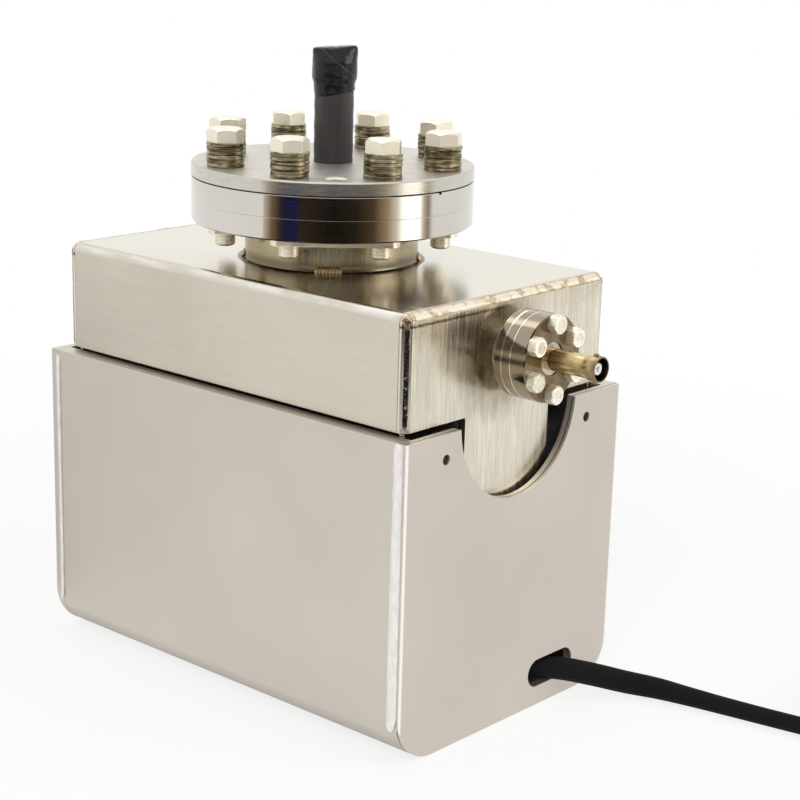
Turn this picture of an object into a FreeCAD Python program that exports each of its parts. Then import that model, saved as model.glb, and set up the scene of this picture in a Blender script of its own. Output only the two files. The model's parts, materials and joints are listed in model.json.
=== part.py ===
# Ion pump with a flanged inlet, shipped with its inlet blanked: a welded pump body hangs between
# two magnet stacks in a welded steel yoke. Millimetres, +Z up, the origin on the floor plane under
# the inlet axis. The high-voltage feedthrough faces -Y and the long axis runs along Y.
import FreeCAD
import Part
import math
import os
import re
import Sketcher
from FreeCAD import Placement, Rotation, Vector

doc = FreeCAD.newDocument("ion_pump")

# Driving dimensions: alias, value in millimetres (or a count), what it measures.
DIMENSIONS = [
    ("housing_width", "130", "magnet housing over its side walls"),
    ("housing_length", "200", "magnet housing over its end plates"),
    ("housing_height", "126", "floor to the top edge of the housing"),
    ("yoke_wall", "7", "steel of the bent yoke"),
    ("bend_radius", "19", "outside radius of the yoke's two bends"),
    ("cover_sheet", "1.5", "outer sheet of the front end"),
    ("end_plate", "2.5", "inner plate of the front end"),
    ("rear_plate", "4", "plate of the rear end"),
    ("cutout_radius", "35", "round cut-out at the top of the front end"),
    ("cutout_rise", "1.8", "cut-out centre above the housing top"),
    ("bracket_spacing", "86", "between the two small holes of the front end"),
    ("bracket_drop", "9.8", "small holes below the housing top"),
    ("bracket_hole", "4", "diameter of the small holes"),
    ("slot_length", "28.8", "cable slot from end to end"),
    ("slot_height", "11.6", "cable slot width across"),
    ("slot_side", "27.3", "cable slot centre from the middle plane"),
    ("slot_level", "13.8", "cable slot centre above the floor"),
    ("seam_width", "5", "weld bead on the side of the housing"),
    ("seam_height", "0.8", "weld bead proud of the side wall"),
    ("seam_setback", "3.7", "bead centre from the end of the housing"),
    ("seam_stop", "2", "beads end below the housing top"),
    ("chamber_inset", "5.25", "side of the vacuum chamber inside the side of the housing"),
    ("chamber_setback", "6", "end of the vacuum chamber inside the end of the housing"),
    ("chamber_height", "44", "vacuum chamber from floor sheet to top"),
    ("chamber_lift", "1.5", "chamber above the housing top"),
    ("chamber_wall", "3", "sheet of the chamber and of its pocket"),
    ("chamber_end", "4", "end plates of the chamber"),
    ("edge_radius", "3.5", "rounded top edges of the chamber"),
    ("corner_bevel", "2.8", "welded corners of the end plates"),
    ("pocket_width", "51", "pocket between the magnets"),
    ("pocket_level", "26", "pocket bottom above the floor"),
    ("inlet_bore", "66", "bore of the inlet tube and flange"),
    ("inlet_wall", "2", "wall of the inlet tube"),
    ("inlet_rise", "15.5", "chamber top to the flange's underside"),
    ("inlet_weld", "3", "leg of the fillet weld round the inlet tube"),
    ("flange_diameter", "113.5", "inlet flange of the 63 mm size"),
    ("flange_thickness", "17.5", "inlet flange from face to face"),
    ("rim_bevel", "0.6", "edges of the inlet flange and its cover"),
    ("tube_socket", "5", "depth of the inlet tube in its flange"),
    ("bolt_circle", "92.2", "bolt circle of the inlet flange"),
    ("bolt_count", "8", "bolts of the inlet flange"),
    ("bolt_hole", "8.4", "clearance holes of the inlet flange"),
    ("gasket_diameter", "82", "outside of the copper gasket"),
    ("gasket_thickness", "2", "copper gasket"),
    ("gasket_play", "0.3", "gasket to the wall of its recess"),
    ("face_gap", "0.4", "between the faces of a flange pair"),
    ("seal_diameter", "77.2", "ridge of the sealing edge"),
    ("seal_relief", "0.5", "ridge of the sealing edge above its recess"),
    ("leak_groove", "2.4", "width of the leak-check grooves"),
    ("cover_thickness", "5.3", "shipping cover on the inlet"),
    ("jack_hole", "7", "jacking hole of the shipping cover"),
    ("bolt_diameter", "8", "shank of the cover bolts"),
    ("bolt_length", "41", "cover bolts under the head"),
    ("bolt_head_width", "13", "across the flats of a cover bolt"),
    ("bolt_head_height", "5.3", "head of a cover bolt"),
    ("washer_diameter", "15", "washers under the cover bolts"),
    ("washer_thickness", "1.6", "one washer"),
    ("washer_count", "6", "washers in each stack"),
    ("nut_bar_length", "50", "plate nut along its two holes"),
    ("nut_bar_width", "13", "plate nut across"),
    ("nut_bar_thickness", "2.8", "plate nut"),
    ("nut_bar_corner", "4.5", "rounded corners of a plate nut"),
    ("thread_play", "0.1", "threaded hole wider than its bolt"),
    ("pinch_tube", "12.7", "copper pump-out tube of the cover"),
    ("pinch_wall", "0.9", "wall of the pump-out tube"),
    ("sleeve_diameter", "15.8", "shrink sleeve on the pump-out tube"),
    ("sleeve_length", "40", "shrink sleeve above the cover"),
    ("cap_diameter", "18", "taped end of the pump-out tube"),
    ("cap_cover", "8", "thick tape below the end of the sleeve"),
    ("cap_tip", "6", "taped tip above the end of the sleeve"),
    ("wrap_cover", "12.5", "single turn of tape below the end of the sleeve"),
    ("wrap_thickness", "0.4", "single turn of tape proud of the sleeve"),
    ("tape_roof", "2", "tape above the pinched end"),
    ("pinch_flare", "0.8", "pinched end wider than the tube on each side"),
    ("pinch_thickness", "1.6", "pinched end of the pump-out tube"),
    ("feed_bore", "16", "bore of the feedthrough's tube and flange"),
    ("feed_wall", "1.5", "wall of the feedthrough's short tube"),
    ("feed_reach", "5", "chamber face to the first small flange"),
    ("feed_weld", "1.7", "leg of the fillet weld round the short tube"),
    ("feed_socket", "2.5", "depth of the short tube in its flange"),
    ("feed_flange_diameter", "33.8", "small flanges of the 16 mm size"),
    ("feed_flange_thickness", "7.2", "one small flange"),
    ("feed_gap", "0.2", "between the small flanges"),
    ("feed_gasket", "21.3", "outside of the small gasket"),
    ("feed_bevel", "0.4", "edges of the small flanges"),
    ("feed_seal", "18.3", "ridge of the small sealing edge"),
    ("feed_relief", "0.3", "ridge of the small sealing edge above its recess"),
    ("feed_bolt_circle", "27", "bolt circle of the small flanges"),
    ("feed_bolt_count", "6", "bolts of the small flanges"),
    ("feed_bolt_hole", "4.4", "clearance holes of the small flanges"),
    ("feed_bolt", "4", "shank of the small bolts"),
    ("feed_head_width", "7", "across the flats of a small bolt"),
    ("feed_head_height", "3.8", "head of a small bolt"),
    ("feed_recess", "13.2", "recess round the connector"),
    ("feed_recess_depth", "1", "recess round the connector"),
    ("ring_play", "0.4", "brazed ring to the wall of that recess"),
    ("ring_height", "0.6", "brazed ring round the connector"),
    ("rim_groove", "0.8", "groove round the rim of the first small flange"),
    ("shell_bore", "6.8", "bore of the connector's brass shell"),
    ("shell_wall", "0.8", "wall of the brass shell"),
    ("shell_reach", "22.5", "connector ahead of its flange"),
    ("collar_bore", "8.4", "mouth of the connector"),
    ("collar_wall", "0.7", "wall of the end collar round the mouth"),
    ("collar_length", "5", "end collar of the connector"),
    ("collar_flare", "1.5", "taper up to the end collar"),
    ("stud_diameter", "2", "bayonet studs of the connector"),
    ("stud_reach", "0.8", "bayonet studs proud of the collar"),
    ("insulator_setback", "2", "insulator behind the floor of the mouth"),
    ("ceramic_diameter", "4.5", "ceramic round the centre contact"),
    ("contact_diameter", "2", "high-voltage conductor"),
    ("contact_setback", "1.5", "ceramic behind the mouth of the connector"),
    ("contact_recess", "1", "centre contact behind the end of its ceramic"),
    ("conductor_inset", "2", "conductor inside the front end of the anode"),
    ("cell_width", "20", "one anode cell across its flats"),
    ("cell_wall", "1", "sheet between two anode cells"),
    ("cell_columns", "7", "cells in each of the anode's long rows"),
    ("anode_thickness", "24", "anode along the magnetic field"),
    ("cathode_thickness", "2", "titanium plate"),
    ("cathode_height", "72", "titanium plate"),
    ("cathode_gap", "4", "titanium plate to the chamber's end plates"),
    ("standoff_diameter", "7", "ceramic standoffs of the anode"),
    ("shield_diameter", "12", "sputter shields on the standoffs"),
    ("shield_length", "4", "sputter shields along the standoff"),
    ("magnet_drop", "14", "top of the magnets below the housing top"),
    ("magnet_gap", "4", "magnets to the heater beside them"),
    ("magnet_setback", "12", "end of the magnets inside the end of the housing"),
    ("magnet_level", "22", "underside of the magnets above the floor"),
    ("heater_thickness", "1.5", "flat bake-out heater"),
    ("heater_height", "50", "flat bake-out heater"),
    ("heater_length", "150", "flat bake-out heater"),
    ("support_width", "24", "blocks that carry the pocket"),
    ("support_setback", "60", "middle of such a block inside the end of the housing"),
    ("terminal_length", "26", "heater terminal block along Y"),
    ("terminal_width", "22", "heater terminal block along X"),
    ("terminal_height", "14", "heater terminal block"),
    ("gland_length", "6", "collar of the terminal block round the lead"),
    ("gland_wall", "1.5", "wall of that collar"),
    ("gland_side", "2", "collar's face beyond the side of the block"),
    ("gland_front", "4", "collar's face ahead of the block"),
    ("wire_diameter", "2.5", "wires from the terminal block to the heaters"),
    ("wire_play", "0.1", "between a wire and its heater"),
    ("wire_lap", "8", "wire beside its heater, above the heater's lower edge"),
    ("lead_diameter", "7", "braided heater lead"),
    ("coil_diameter", "70", "stored lead at the middle of its turns"),
    ("coil_layers", "2", "turns above each other"),
    ("coil_rows", "3", "turns beside each other"),
    ("tie_width", "6", "strap round the stored lead"),
    ("tie_thickness", "1", "strap round the stored lead"),
    ("plug_length", "28", "plug of the heater lead"),
    ("plug_width", "18", "plug of the heater lead"),
    ("plug_height", "13", "plug of the heater lead"),
    ("plug_neck", "10", "tapered neck of the plug"),
    ("plug_corner", "3.2", "rounded edges of the plug"),
    ("prong_length", "14", "prongs of the plug"),
    ("prong_width", "5", "prongs of the plug"),
    ("prong_thickness", "1.6", "prongs of the plug"),
]

sheet = doc.addObject("Spreadsheet::Sheet", "Sizes")
for row, (alias, number, note) in enumerate(DIMENSIONS, 1):
    sheet.set(f"A{row}", note)
    sheet.set(f"B{row}", number)
    sheet.setAlias(f"B{row}", alias)
doc.recompute()
size = {alias: float(sheet.get(alias)) for alias, number, note in DIMENSIONS}
workings = doc.addObject("Spreadsheet::Sheet", "Workings")

# Places that several pieces share, as formulas of the sheet.
CHAMBER_WIDTH = "(housing_width - 2 * chamber_inset)"
CHAMBER_LENGTH = "(housing_length - 2 * chamber_setback)"
CHAMBER_FLOOR = "(housing_height + chamber_lift)"
CHAMBER_TOP = f"({CHAMBER_FLOOR} + chamber_height)"
FLANGE_LEVEL = f"({CHAMBER_TOP} + inlet_rise)"
COVER_LEVEL = f"({FLANGE_LEVEL} + flange_thickness + face_gap)"
COVER_TOP = f"({COVER_LEVEL} + cover_thickness)"
HEAD_LEVEL = f"({COVER_TOP} + washer_count * washer_thickness)"
FEED_LEVEL = f"({CHAMBER_FLOOR} + chamber_height / 2)"
CHAMBER_FRONT = "(chamber_setback - housing_length / 2)"
FEED_BACK = f"({CHAMBER_FRONT} - feed_reach)"
FEED_JOINT = f"({FEED_BACK} - feed_flange_thickness)"
FEED_FACE = f"({FEED_JOINT} - feed_gap - feed_flange_thickness)"
CONNECTOR_END = f"({FEED_FACE} - shell_reach)"
POCKET_MIDDLE = f"((pocket_level + {CHAMBER_FLOOR}) / 2)"
POCKET_HALF = "(pocket_width / 2 - chamber_wall)"
FRONT = "(-housing_length / 2)"
YOKE_FRONT = f"({FRONT} + cover_sheet + end_plate)"
YOKE_LENGTH = "(housing_length - cover_sheet - end_plate - rear_plate)"
CELL_PITCH = "(cell_width + cell_wall)"
INLET_TUBE = "(inlet_bore + 2 * inlet_wall)"
FEED_TUBE = "(feed_bore + 2 * feed_wall)"
SHELL_DIAMETER = "(shell_bore + 2 * shell_wall)"
COLLAR_DIAMETER = "(collar_bore + 2 * collar_wall)"

TOWARDS_FRONT = Rotation(Vector(1, 0, 0), 90)
TOWARDS_SIDE = Rotation(Vector(0, 1, 0), 90)
UPRIGHT = Rotation()
pieces = []


def formula(text):
    """The formula with the sheet's name before each alias, as expressions need it."""
    return re.sub(r"[a-z_]+", lambda word: named(word.group()), str(text))


def named(word):
    return "Sizes." + word if word in size else word


def amount(text):
    """The formula's value, worked out by the document itself."""
    workings.set("A1", "=" + formula(text))
    workings.recompute()
    return float(workings.get("A1"))


def bind(item, **properties):
    for name, text in properties.items():
        item.setExpression(name, formula(text))
    return item


def place(item, x="0", y="0", z="0", turn=UPRIGHT):
    item.Placement = Placement(Vector(), turn)
    for axis, text in (("x", x), ("y", y), ("z", z)):
        item.setExpression("Placement.Base." + axis, formula(text))
    return item


def box(name, length, width, height, x="0", y="0", z="0", turn=UPRIGHT):
    item = bind(doc.addObject("Part::Box", name), Length=length, Width=width, Height=height)
    return place(item, x, y, z, turn)


def cylinder(name, diameter, height, x="0", y="0", z="0", turn=UPRIGHT):
    item = bind(doc.addObject("Part::Cylinder", name), Radius=f"({diameter}) / 2", Height=height)
    return place(item, x, y, z, turn)


def fuse(name, items):
    item = doc.addObject("Part::MultiFuse", name)
    item.Shapes = items
    return item


def cut(name, base, tools):
    item = doc.addObject("Part::Cut", name)
    item.Base = base
    item.Tool = tools[0] if len(tools) == 1 else fuse(name + "_tools", tools)
    return item


def pipe(name, outer, inner, height, x="0", y="0", z="0", turn=UPRIGHT):
    return cut(name, cylinder(name + "_outside", outer, height, x, y, z, turn),
               [cylinder(name + "_bore", inner, height, x, y, z, turn)])


def piece(item, label):
    """Names a finished sub-part; its label names its file."""
    item.Label = label
    pieces.append(item)
    return item


def origin_plane(body, role):
    return next(item for item in body.Origin.OriginFeatures if item.Role == role)


def outline(body, role, corners):
    """A closed sketch of straight sides whose corners are pairs of sheet formulas."""
    sketch = body.newObject("Sketcher::SketchObject", body.Name + "_outline")
    sketch.AttachmentSupport = (origin_plane(body, role), [""])
    sketch.MapMode = "FlatFace"
    points = [Vector(amount(across), amount(up), 0) for across, up in corners]
    for number, point in enumerate(points):
        sketch.addGeometry(Part.LineSegment(point, points[(number + 1) % len(points)]), False)
    for number in range(len(points)):
        following = (number + 1) % len(points)
        sketch.addConstraint(Sketcher.Constraint("Coincident", number, 2, following, 1))
    for number, (across, up) in enumerate(corners):
        for direction, text, value in (("X", across, points[number].x), ("Y", up, points[number].y)):
            kind = "Distance" + direction
            index = sketch.addConstraint(Sketcher.Constraint(kind, -1, 1, number, 1, value))
            label = f"corner_{number}_{direction.lower()}"
            sketch.renameConstraint(index, label)
            sketch.setExpression("Constraints." + label, formula(text))
    return sketch


def extrusion(name, corners, depth, y, role="XZ_Plane"):
    """A body padded along Y from y towards the rear, from an outline in X and Z."""
    body = doc.addObject("PartDesign::Body", name)
    pad = body.newObject("PartDesign::Pad", name + "_pad")
    pad.Profile = outline(body, role, corners)
    pad.Reversed = True
    bind(pad, Length=depth)
    place(body, y=y)
    doc.recompute()
    return body


def revolved(name, corners, x="0", y="0", z="0", turn=UPRIGHT):
    """A body turned round its own Z axis, from an outline in radius and height."""
    body = doc.addObject("PartDesign::Body", name)
    turning = body.newObject("PartDesign::Revolution", name + "_turning")
    profile = outline(body, "XZ_Plane", corners)
    turning.Profile = profile
    turning.ReferenceAxis = (profile, ["V_Axis"])
    turning.Angle = 360
    place(body, x, y, z, turn)
    doc.recompute()
    return body


def edges_along_y(item, spots):
    """Names of the straight edges along Y that pass through the given X and Z places."""
    names = []
    for number, edge in enumerate(item.Shape.Edges, 1):
        start, end = edge.Vertexes[0].Point, edge.Vertexes[-1].Point
        along = abs(start.x - end.x) + abs(start.z - end.z) < 1e-6
        if along and any(math.hypot(start.x - x, start.z - z) < 1e-3 for x, z in spots):
            names.append(f"Edge{number}")
    return names


def dress(body, kind, names, text):
    """A fillet or chamfer on named edges of a body's last feature."""
    base = body.Tip
    feature = body.newObject("PartDesign::" + kind, f"{body.Name}_{kind.lower()}_{len(body.Group)}")
    feature.Base = (base, names)
    bind(feature, **{"Radius" if kind == "Fillet" else "Size": text})
    doc.recompute()
    return feature


def round_edges(body, spots, radius):
    """Fillets the edges along Y of a body at the given X and Z formulas."""
    places = [(amount(x), amount(z)) for x, z in spots]
    return dress(body, "Fillet", edges_along_y(body.Tip, places), radius)


def mirrored_spots(x, z):
    return [(x, z), (f"-({x})", z)]


def round_pattern(name, single, count, start, centre=Vector(), axis=Vector(0, 0, 1)):
    """Separate copies of one solid, spaced evenly round an axis through the centre."""
    first = single.Shape.copy()
    copies = []
    for number in range(int(count)):
        copy = first.copy()
        copy.rotate(centre, axis, start + 360.0 * number / count)
        copies.append(copy)
    group = doc.addObject("Part::Feature", name)
    group.Shape = Part.makeCompound(copies)
    return group


# Magnet housing: a bent yoke closed by end plates.
def housing():
    half = "housing_width / 2"
    inner = "(housing_width / 2 - yoke_wall)"
    top = "housing_height"
    yoke = extrusion("yoke", [
        (f"-{half}", top), (f"-{half}", "0"), (half, "0"), (half, top),
        (inner, top), (inner, "yoke_wall"), (f"-{inner}", "yoke_wall"), (f"-{inner}", top),
    ], YOKE_LENGTH, YOKE_FRONT)
    round_edges(yoke, mirrored_spots(half, "0"), "bend_radius")
    round_edges(yoke, mirrored_spots(inner, "yoke_wall"), "bend_radius - yoke_wall")
    piece(yoke, "housing_yoke")
    piece(front_sheet("front_cover", FRONT, "cover_sheet"), "housing_front_cover")
    piece(front_sheet("front_plate", f"{FRONT} + cover_sheet", "end_plate"), "housing_front_plate")
    rear = plate_blank("rear_plate", "housing_length / 2 - rear_plate", "rear_plate")
    piece(rear, "housing_rear_plate")
    piece(seams(), "housing_corner_welds")


def plate_blank(name, y, depth):
    half = "housing_width / 2"
    corners = [(f"-{half}", "0"), (half, "0"), (half, "housing_height"), (f"-{half}", "housing_height")]
    blank = extrusion(name, corners, depth, y)
    round_edges(blank, mirrored_spots(half, "0"), "bend_radius")
    return blank


def front_sheet(name, y, depth):
    """An end sheet with the round cut-out, the two small holes and the cable slot."""
    def drill(part, diameter, x, z):
        return cylinder(f"{name}_{part}", diameter, depth, x, f"{y} + {depth}", z, TOWARDS_FRONT)

    run = "(slot_length - slot_height) / 2"
    bracket_level = "housing_height - bracket_drop"
    tools = [
        drill("cutout", "2 * cutout_radius", "0", "housing_height + cutout_rise"),
        drill("hole_left", "bracket_hole", "-bracket_spacing / 2", bracket_level),
        drill("hole_right", "bracket_hole", "bracket_spacing / 2", bracket_level),
        drill("slot_left", "slot_height", f"slot_side - {run}", "slot_level"),
        drill("slot_right", "slot_height", f"slot_side + {run}", "slot_level"),
        box(f"{name}_slot_middle", f"2 * {run}", depth, "slot_height",
            f"slot_side - {run}", y, "slot_level - slot_height / 2"),
    ]
    return cut(f"{name}_sheet", plate_blank(name, y, depth), tools)


def seams():
    """Four upright weld beads, each the cap of a round bar that stands proud of the side wall."""
    bar = "((seam_width ^ 2 / 4 + seam_height ^ 2) / (2 * seam_height))"
    run = "housing_height - bend_radius - seam_stop"
    ends = {"front": f"{FRONT} + seam_setback", "rear": "housing_length / 2 - seam_setback"}
    beads = []
    for side, sign in (("left", "-"), ("right", "")):
        for end, y in ends.items():
            name = f"seam_{end}_{side}"
            centre = f"{sign}(housing_width / 2 + seam_height - {bar})"
            round_bar = cylinder(name + "_bar", f"2 * {bar}", run, centre, y, "bend_radius")
            edge = "housing_width / 2" if sign == "" else "-housing_width / 2 - 2 * seam_height"
            outside = box(name + "_outside", "2 * seam_height", f"2 * {bar}", run,
                          edge, f"{y} - {bar}", "bend_radius")
            bead = doc.addObject("Part::Common", name)
            bead.Base, bead.Tool = round_bar, outside
            beads.append(bead)
    return compound("seams", beads)


def compound(name, items):
    item = doc.addObject("Part::Compound", name)
    item.Links = items
    return item


# Vacuum chamber: a folded shell, a pocket that hangs between the magnets, and two end plates.
def chamber():
    half = f"{CHAMBER_WIDTH} / 2"
    inner = f"({CHAMBER_WIDTH} / 2 - chamber_wall)"
    ceiling = f"({CHAMBER_TOP} - chamber_wall)"
    length = f"({CHAMBER_LENGTH} - 2 * chamber_end)"
    start = f"{CHAMBER_FRONT} + chamber_end"
    shell = extrusion("chamber_fold", [
        (f"-{half}", CHAMBER_FLOOR), (f"-{half}", CHAMBER_TOP), (half, CHAMBER_TOP),
        (half, CHAMBER_FLOOR), (inner, CHAMBER_FLOOR), (inner, ceiling),
        (f"-{inner}", ceiling), (f"-{inner}", CHAMBER_FLOOR),
    ], length, start)
    round_edges(shell, mirrored_spots(half, CHAMBER_TOP), "edge_radius")
    opening = cylinder("inlet_opening", INLET_TUBE, "2 * chamber_wall",
                       z=f"{CHAMBER_TOP} - 1.5 * chamber_wall")
    piece(cut("chamber_shell_cut", shell, [opening]), "chamber_shell")
    piece(pocket(length, start, inner), "chamber_pocket")
    piece(front_end(), "chamber_front_end")
    rear = chamber_end("chamber_rear", f"-{CHAMBER_FRONT} - chamber_end", rear=True)
    piece(rear, "chamber_rear_end")


def pocket(length, start, brim):
    """One folded sheet: a brim at each side and the deep pocket between the magnets."""
    outer = "pocket_width / 2"
    upper = f"({CHAMBER_FLOOR} + chamber_wall)"
    lower = "(pocket_level + chamber_wall)"
    fold = extrusion("pocket_fold", [
        (f"-{brim}", CHAMBER_FLOOR), (f"-{outer}", CHAMBER_FLOOR), (f"-{outer}", "pocket_level"),
        (outer, "pocket_level"), (outer, CHAMBER_FLOOR), (brim, CHAMBER_FLOOR),
        (brim, upper), (POCKET_HALF, upper), (POCKET_HALF, lower),
        (f"-{POCKET_HALF}", lower), (f"-{POCKET_HALF}", upper), (f"-{brim}", upper),
    ], length, start)
    round_edges(fold, mirrored_spots(outer, "pocket_level"), "edge_radius")
    return fold


def chamber_end(name, y, rear=False):
    """A T-shaped end plate whose outer top and side edges are rounded by their welds."""
    half = f"{CHAMBER_WIDTH} / 2"
    outer = "pocket_width / 2"
    plate = extrusion(name, [
        (f"-{half}", CHAMBER_FLOOR), (f"-{outer}", CHAMBER_FLOOR), (f"-{outer}", "pocket_level"),
        (outer, "pocket_level"), (outer, CHAMBER_FLOOR), (half, CHAMBER_FLOOR),
        (half, CHAMBER_TOP), (f"-{half}", CHAMBER_TOP),
    ], "chamber_end", y)
    round_edges(plate, mirrored_spots(half, CHAMBER_TOP), "edge_radius")
    round_edges(plate, mirrored_spots(outer, "pocket_level"), "edge_radius")
    local = amount("chamber_end" if rear else "0")
    names = []
    for number, edge in enumerate(plate.Tip.Shape.Edges, 1):
        middle = edge.CenterOfMass
        on_face = abs(middle.y - local) < 1e-3 and edge.BoundBox.YLength < 1e-3
        above = edge.BoundBox.ZMax > amount(CHAMBER_FLOOR) + 1
        if on_face and above:
            names.append(f"Edge{number}")
    dress(plate, "Chamfer", names, "corner_bevel")
    return plate


def front_end():
    hole = cylinder("feed_opening", FEED_TUBE, "2 * chamber_end",
                    y=f"{CHAMBER_FRONT} + 1.5 * chamber_end", z=FEED_LEVEL, turn=TOWARDS_FRONT)
    return cut("chamber_front_cut", chamber_end("chamber_front", CHAMBER_FRONT), [hole])


# Inlet: tube, flange, gasket and the shipping cover with its bolts.
SEAT_DEPTH = "((gasket_thickness - face_gap) / 2)"
RECESS_DEPTH = f"({SEAT_DEPTH} + seal_relief)"
RECESS_RADIUS = "(gasket_diameter / 2 + gasket_play)"
# The pinched end is turned about the inlet, in degrees.
PINCH_TURN = -48


def inlet():
    piece(pipe("inlet_pipe", INLET_TUBE, "inlet_bore",
               "inlet_rise + chamber_wall + tube_socket", z=f"{CHAMBER_TOP} - chamber_wall"),
          "inlet_tube")
    weld = revolved("inlet_fillet", [
        (f"{INLET_TUBE} / 2", "0"), (f"{INLET_TUBE} / 2 + inlet_weld", "0"),
        (f"{INLET_TUBE} / 2", "inlet_weld"),
    ], z=CHAMBER_TOP)
    piece(weld, "inlet_tube_weld")
    rim = "flange_diameter / 2"
    ridge = "seal_diameter / 2"
    thick = "flange_thickness"
    flange = revolved("inlet_ring", [
        (f"{INLET_TUBE} / 2", "0"), (f"{rim} - rim_bevel", "0"), (rim, "rim_bevel"),
        (rim, f"{thick} - rim_bevel"), (f"{rim} - rim_bevel", thick),
        (RECESS_RADIUS, thick), (RECESS_RADIUS, f"{thick} - {RECESS_DEPTH}"),
        (f"{ridge} + 2 * seal_relief", f"{thick} - {RECESS_DEPTH}"),
        (ridge, f"{thick} - {SEAT_DEPTH}"),
        (f"{ridge} - seal_relief", f"{thick} - {RECESS_DEPTH}"),
        ("inlet_bore / 2", f"{thick} - {RECESS_DEPTH}"), ("inlet_bore / 2", "tube_socket"),
        (f"{INLET_TUBE} / 2", "tube_socket"),
    ], z=FLANGE_LEVEL)
    hole_ring(flange, "bolt_hole", "bolt_circle", "bolt_count", "180 / bolt_count")
    reach = f"({rim} - {RECESS_RADIUS} + 2 * gasket_play)"
    grooves = [box(f"leak_groove_{side}", "leak_groove", reach, "leak_groove / 2",
                   "-leak_groove / 2", start, f"{COVER_LEVEL} - face_gap - leak_groove / 2")
               for side, start in (("front", f"gasket_play - {RECESS_RADIUS} - {reach}"),
                                   ("rear", f"{RECESS_RADIUS} - gasket_play"))]
    piece(cut("inlet_flange_cut", flange, grooves), "inlet_flange")
    piece(pipe("gasket_ring", "gasket_diameter", "inlet_bore", "gasket_thickness",
               z=f"{COVER_LEVEL} - face_gap - {SEAT_DEPTH}"), "inlet_gasket")


def hole_ring(body, diameter, circle, count, start):
    """Through holes on a circle round the body's axis, by a pocket and a polar pattern."""
    sketch = body.newObject("Sketcher::SketchObject", body.Name + "_hole")
    sketch.AttachmentSupport = (origin_plane(body, "XY_Plane"), [""])
    sketch.MapMode = "FlatFace"
    angle = math.radians(amount(start))
    radius = amount(circle) / 2
    centre = Vector(radius * math.cos(angle), radius * math.sin(angle), 0)
    sketch.addGeometry(Part.Circle(centre, Vector(0, 0, 1), amount(diameter) / 2), False)
    limits = (("Radius", [0], f"{diameter} / 2", amount(diameter) / 2),
              ("DistanceX", [-1, 1, 0, 3], f"{circle} / 2 * cos({start})", centre.x),
              ("DistanceY", [-1, 1, 0, 3], f"{circle} / 2 * sin({start})", centre.y))
    for kind, ends, text, value in limits:
        index = sketch.addConstraint(Sketcher.Constraint(kind, *ends, value))
        sketch.renameConstraint(index, "hole_" + kind.lower())
        sketch.setExpression("Constraints.hole_" + kind.lower(), formula(text))
    pocket_cut = body.newObject("PartDesign::Pocket", body.Name + "_drilling")
    pocket_cut.Profile = sketch
    pocket_cut.Type = "ThroughAll"
    pocket_cut.Reversed = True
    doc.recompute()
    pattern = body.newObject("PartDesign::PolarPattern", body.Name + "_holes")
    pattern.Originals = [pocket_cut]
    pattern.Axis = (sketch, ["N_Axis"])
    pattern.Angle = 360
    bind(pattern, Occurrences=count)
    body.Tip = pattern
    doc.recompute()


def shipping_cover():
    rim = "flange_diameter / 2"
    ridge = "seal_diameter / 2"
    plate = revolved("cover_disc", [
        ("pinch_tube / 2", RECESS_DEPTH), (f"{ridge} - seal_relief", RECESS_DEPTH),
        (ridge, SEAT_DEPTH), (f"{ridge} + 2 * seal_relief", RECESS_DEPTH),
        (RECESS_RADIUS, RECESS_DEPTH), (RECESS_RADIUS, "0"), (rim, "0"),
        (rim, "cover_thickness - rim_bevel"), (f"{rim} - rim_bevel", "cover_thickness"),
        ("pinch_tube / 2", "cover_thickness"),
    ], z=COVER_LEVEL)
    hole_ring(plate, "bolt_hole", "bolt_circle", "bolt_count", "180 / bolt_count")
    jacking = cylinder("jacking_hole", "jack_hole", "2 * cover_thickness",
                       "-bolt_circle / 2 * cos(45)", "-bolt_circle / 2 * sin(45)",
                       f"{COVER_LEVEL} - cover_thickness / 2")
    piece(cut("cover_cut", plate, [jacking]), "shipping_cover")
    pump_out()
    cover_fasteners()


def pump_out():
    """The copper tube is pinched flat at its end, under a shrink sleeve and a taped cap."""
    top = f"({COVER_TOP} + sleeve_length)"
    start = f"({COVER_LEVEL} + {RECESS_DEPTH})"
    straight = pipe("pump_out_pipe", "pinch_tube", "pinch_tube - 2 * pinch_wall", f"{top} - {start}", z=start)
    crimp = blend_up("pump_out_crimp", "pinch_tube / 2", "pinch_tube / 2 + pinch_flare",
                     "pinch_thickness / 2", top, "cap_tip - tape_roof")
    piece(fuse("pump_out", [straight, crimp]), "pump_out_tube")
    piece(pipe("sleeve_pipe", "sleeve_diameter", "pinch_tube", "sleeve_length", z=COVER_TOP),
          "pump_out_sleeve")
    wrap = pipe("cap_wrap", "sleeve_diameter + 2 * wrap_thickness", "sleeve_diameter",
                "wrap_cover", z=f"{top} - wrap_cover")
    skirt = pipe("cap_skirt", "cap_diameter", "sleeve_diameter", "cap_cover", z=f"{top} - cap_cover")
    crown = blend_up("cap_crown", "cap_diameter / 2", "cap_diameter / 2", "cap_diameter / 4",
                     top, "cap_tip")
    piece(fuse("cap_body", [wrap, skirt, cut("cap_hollow", crown, [crimp])]), "pump_out_cap")


def blend_up(name, radius, long_radius, short_radius, z, height):
    """A loft from a circle at z to an ellipse above it, whose long axis follows the pinched end."""
    pinch = Rotation(Vector(0, 0, 1), PINCH_TURN)
    lower = bind(doc.addObject("Part::Circle", name + "_lower"), Radius=radius)
    place(lower, z=z, turn=pinch)
    upper = bind(doc.addObject("Part::Ellipse", name + "_upper"),
                 MajorRadius=long_radius, MinorRadius=short_radius)
    place(upper, z=f"{z} + {height}", turn=pinch)
    loft = doc.addObject("Part::Loft", name)
    loft.Sections = [lower, upper]
    loft.Solid = True
    loft.Ruled = True
    return loft


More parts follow.
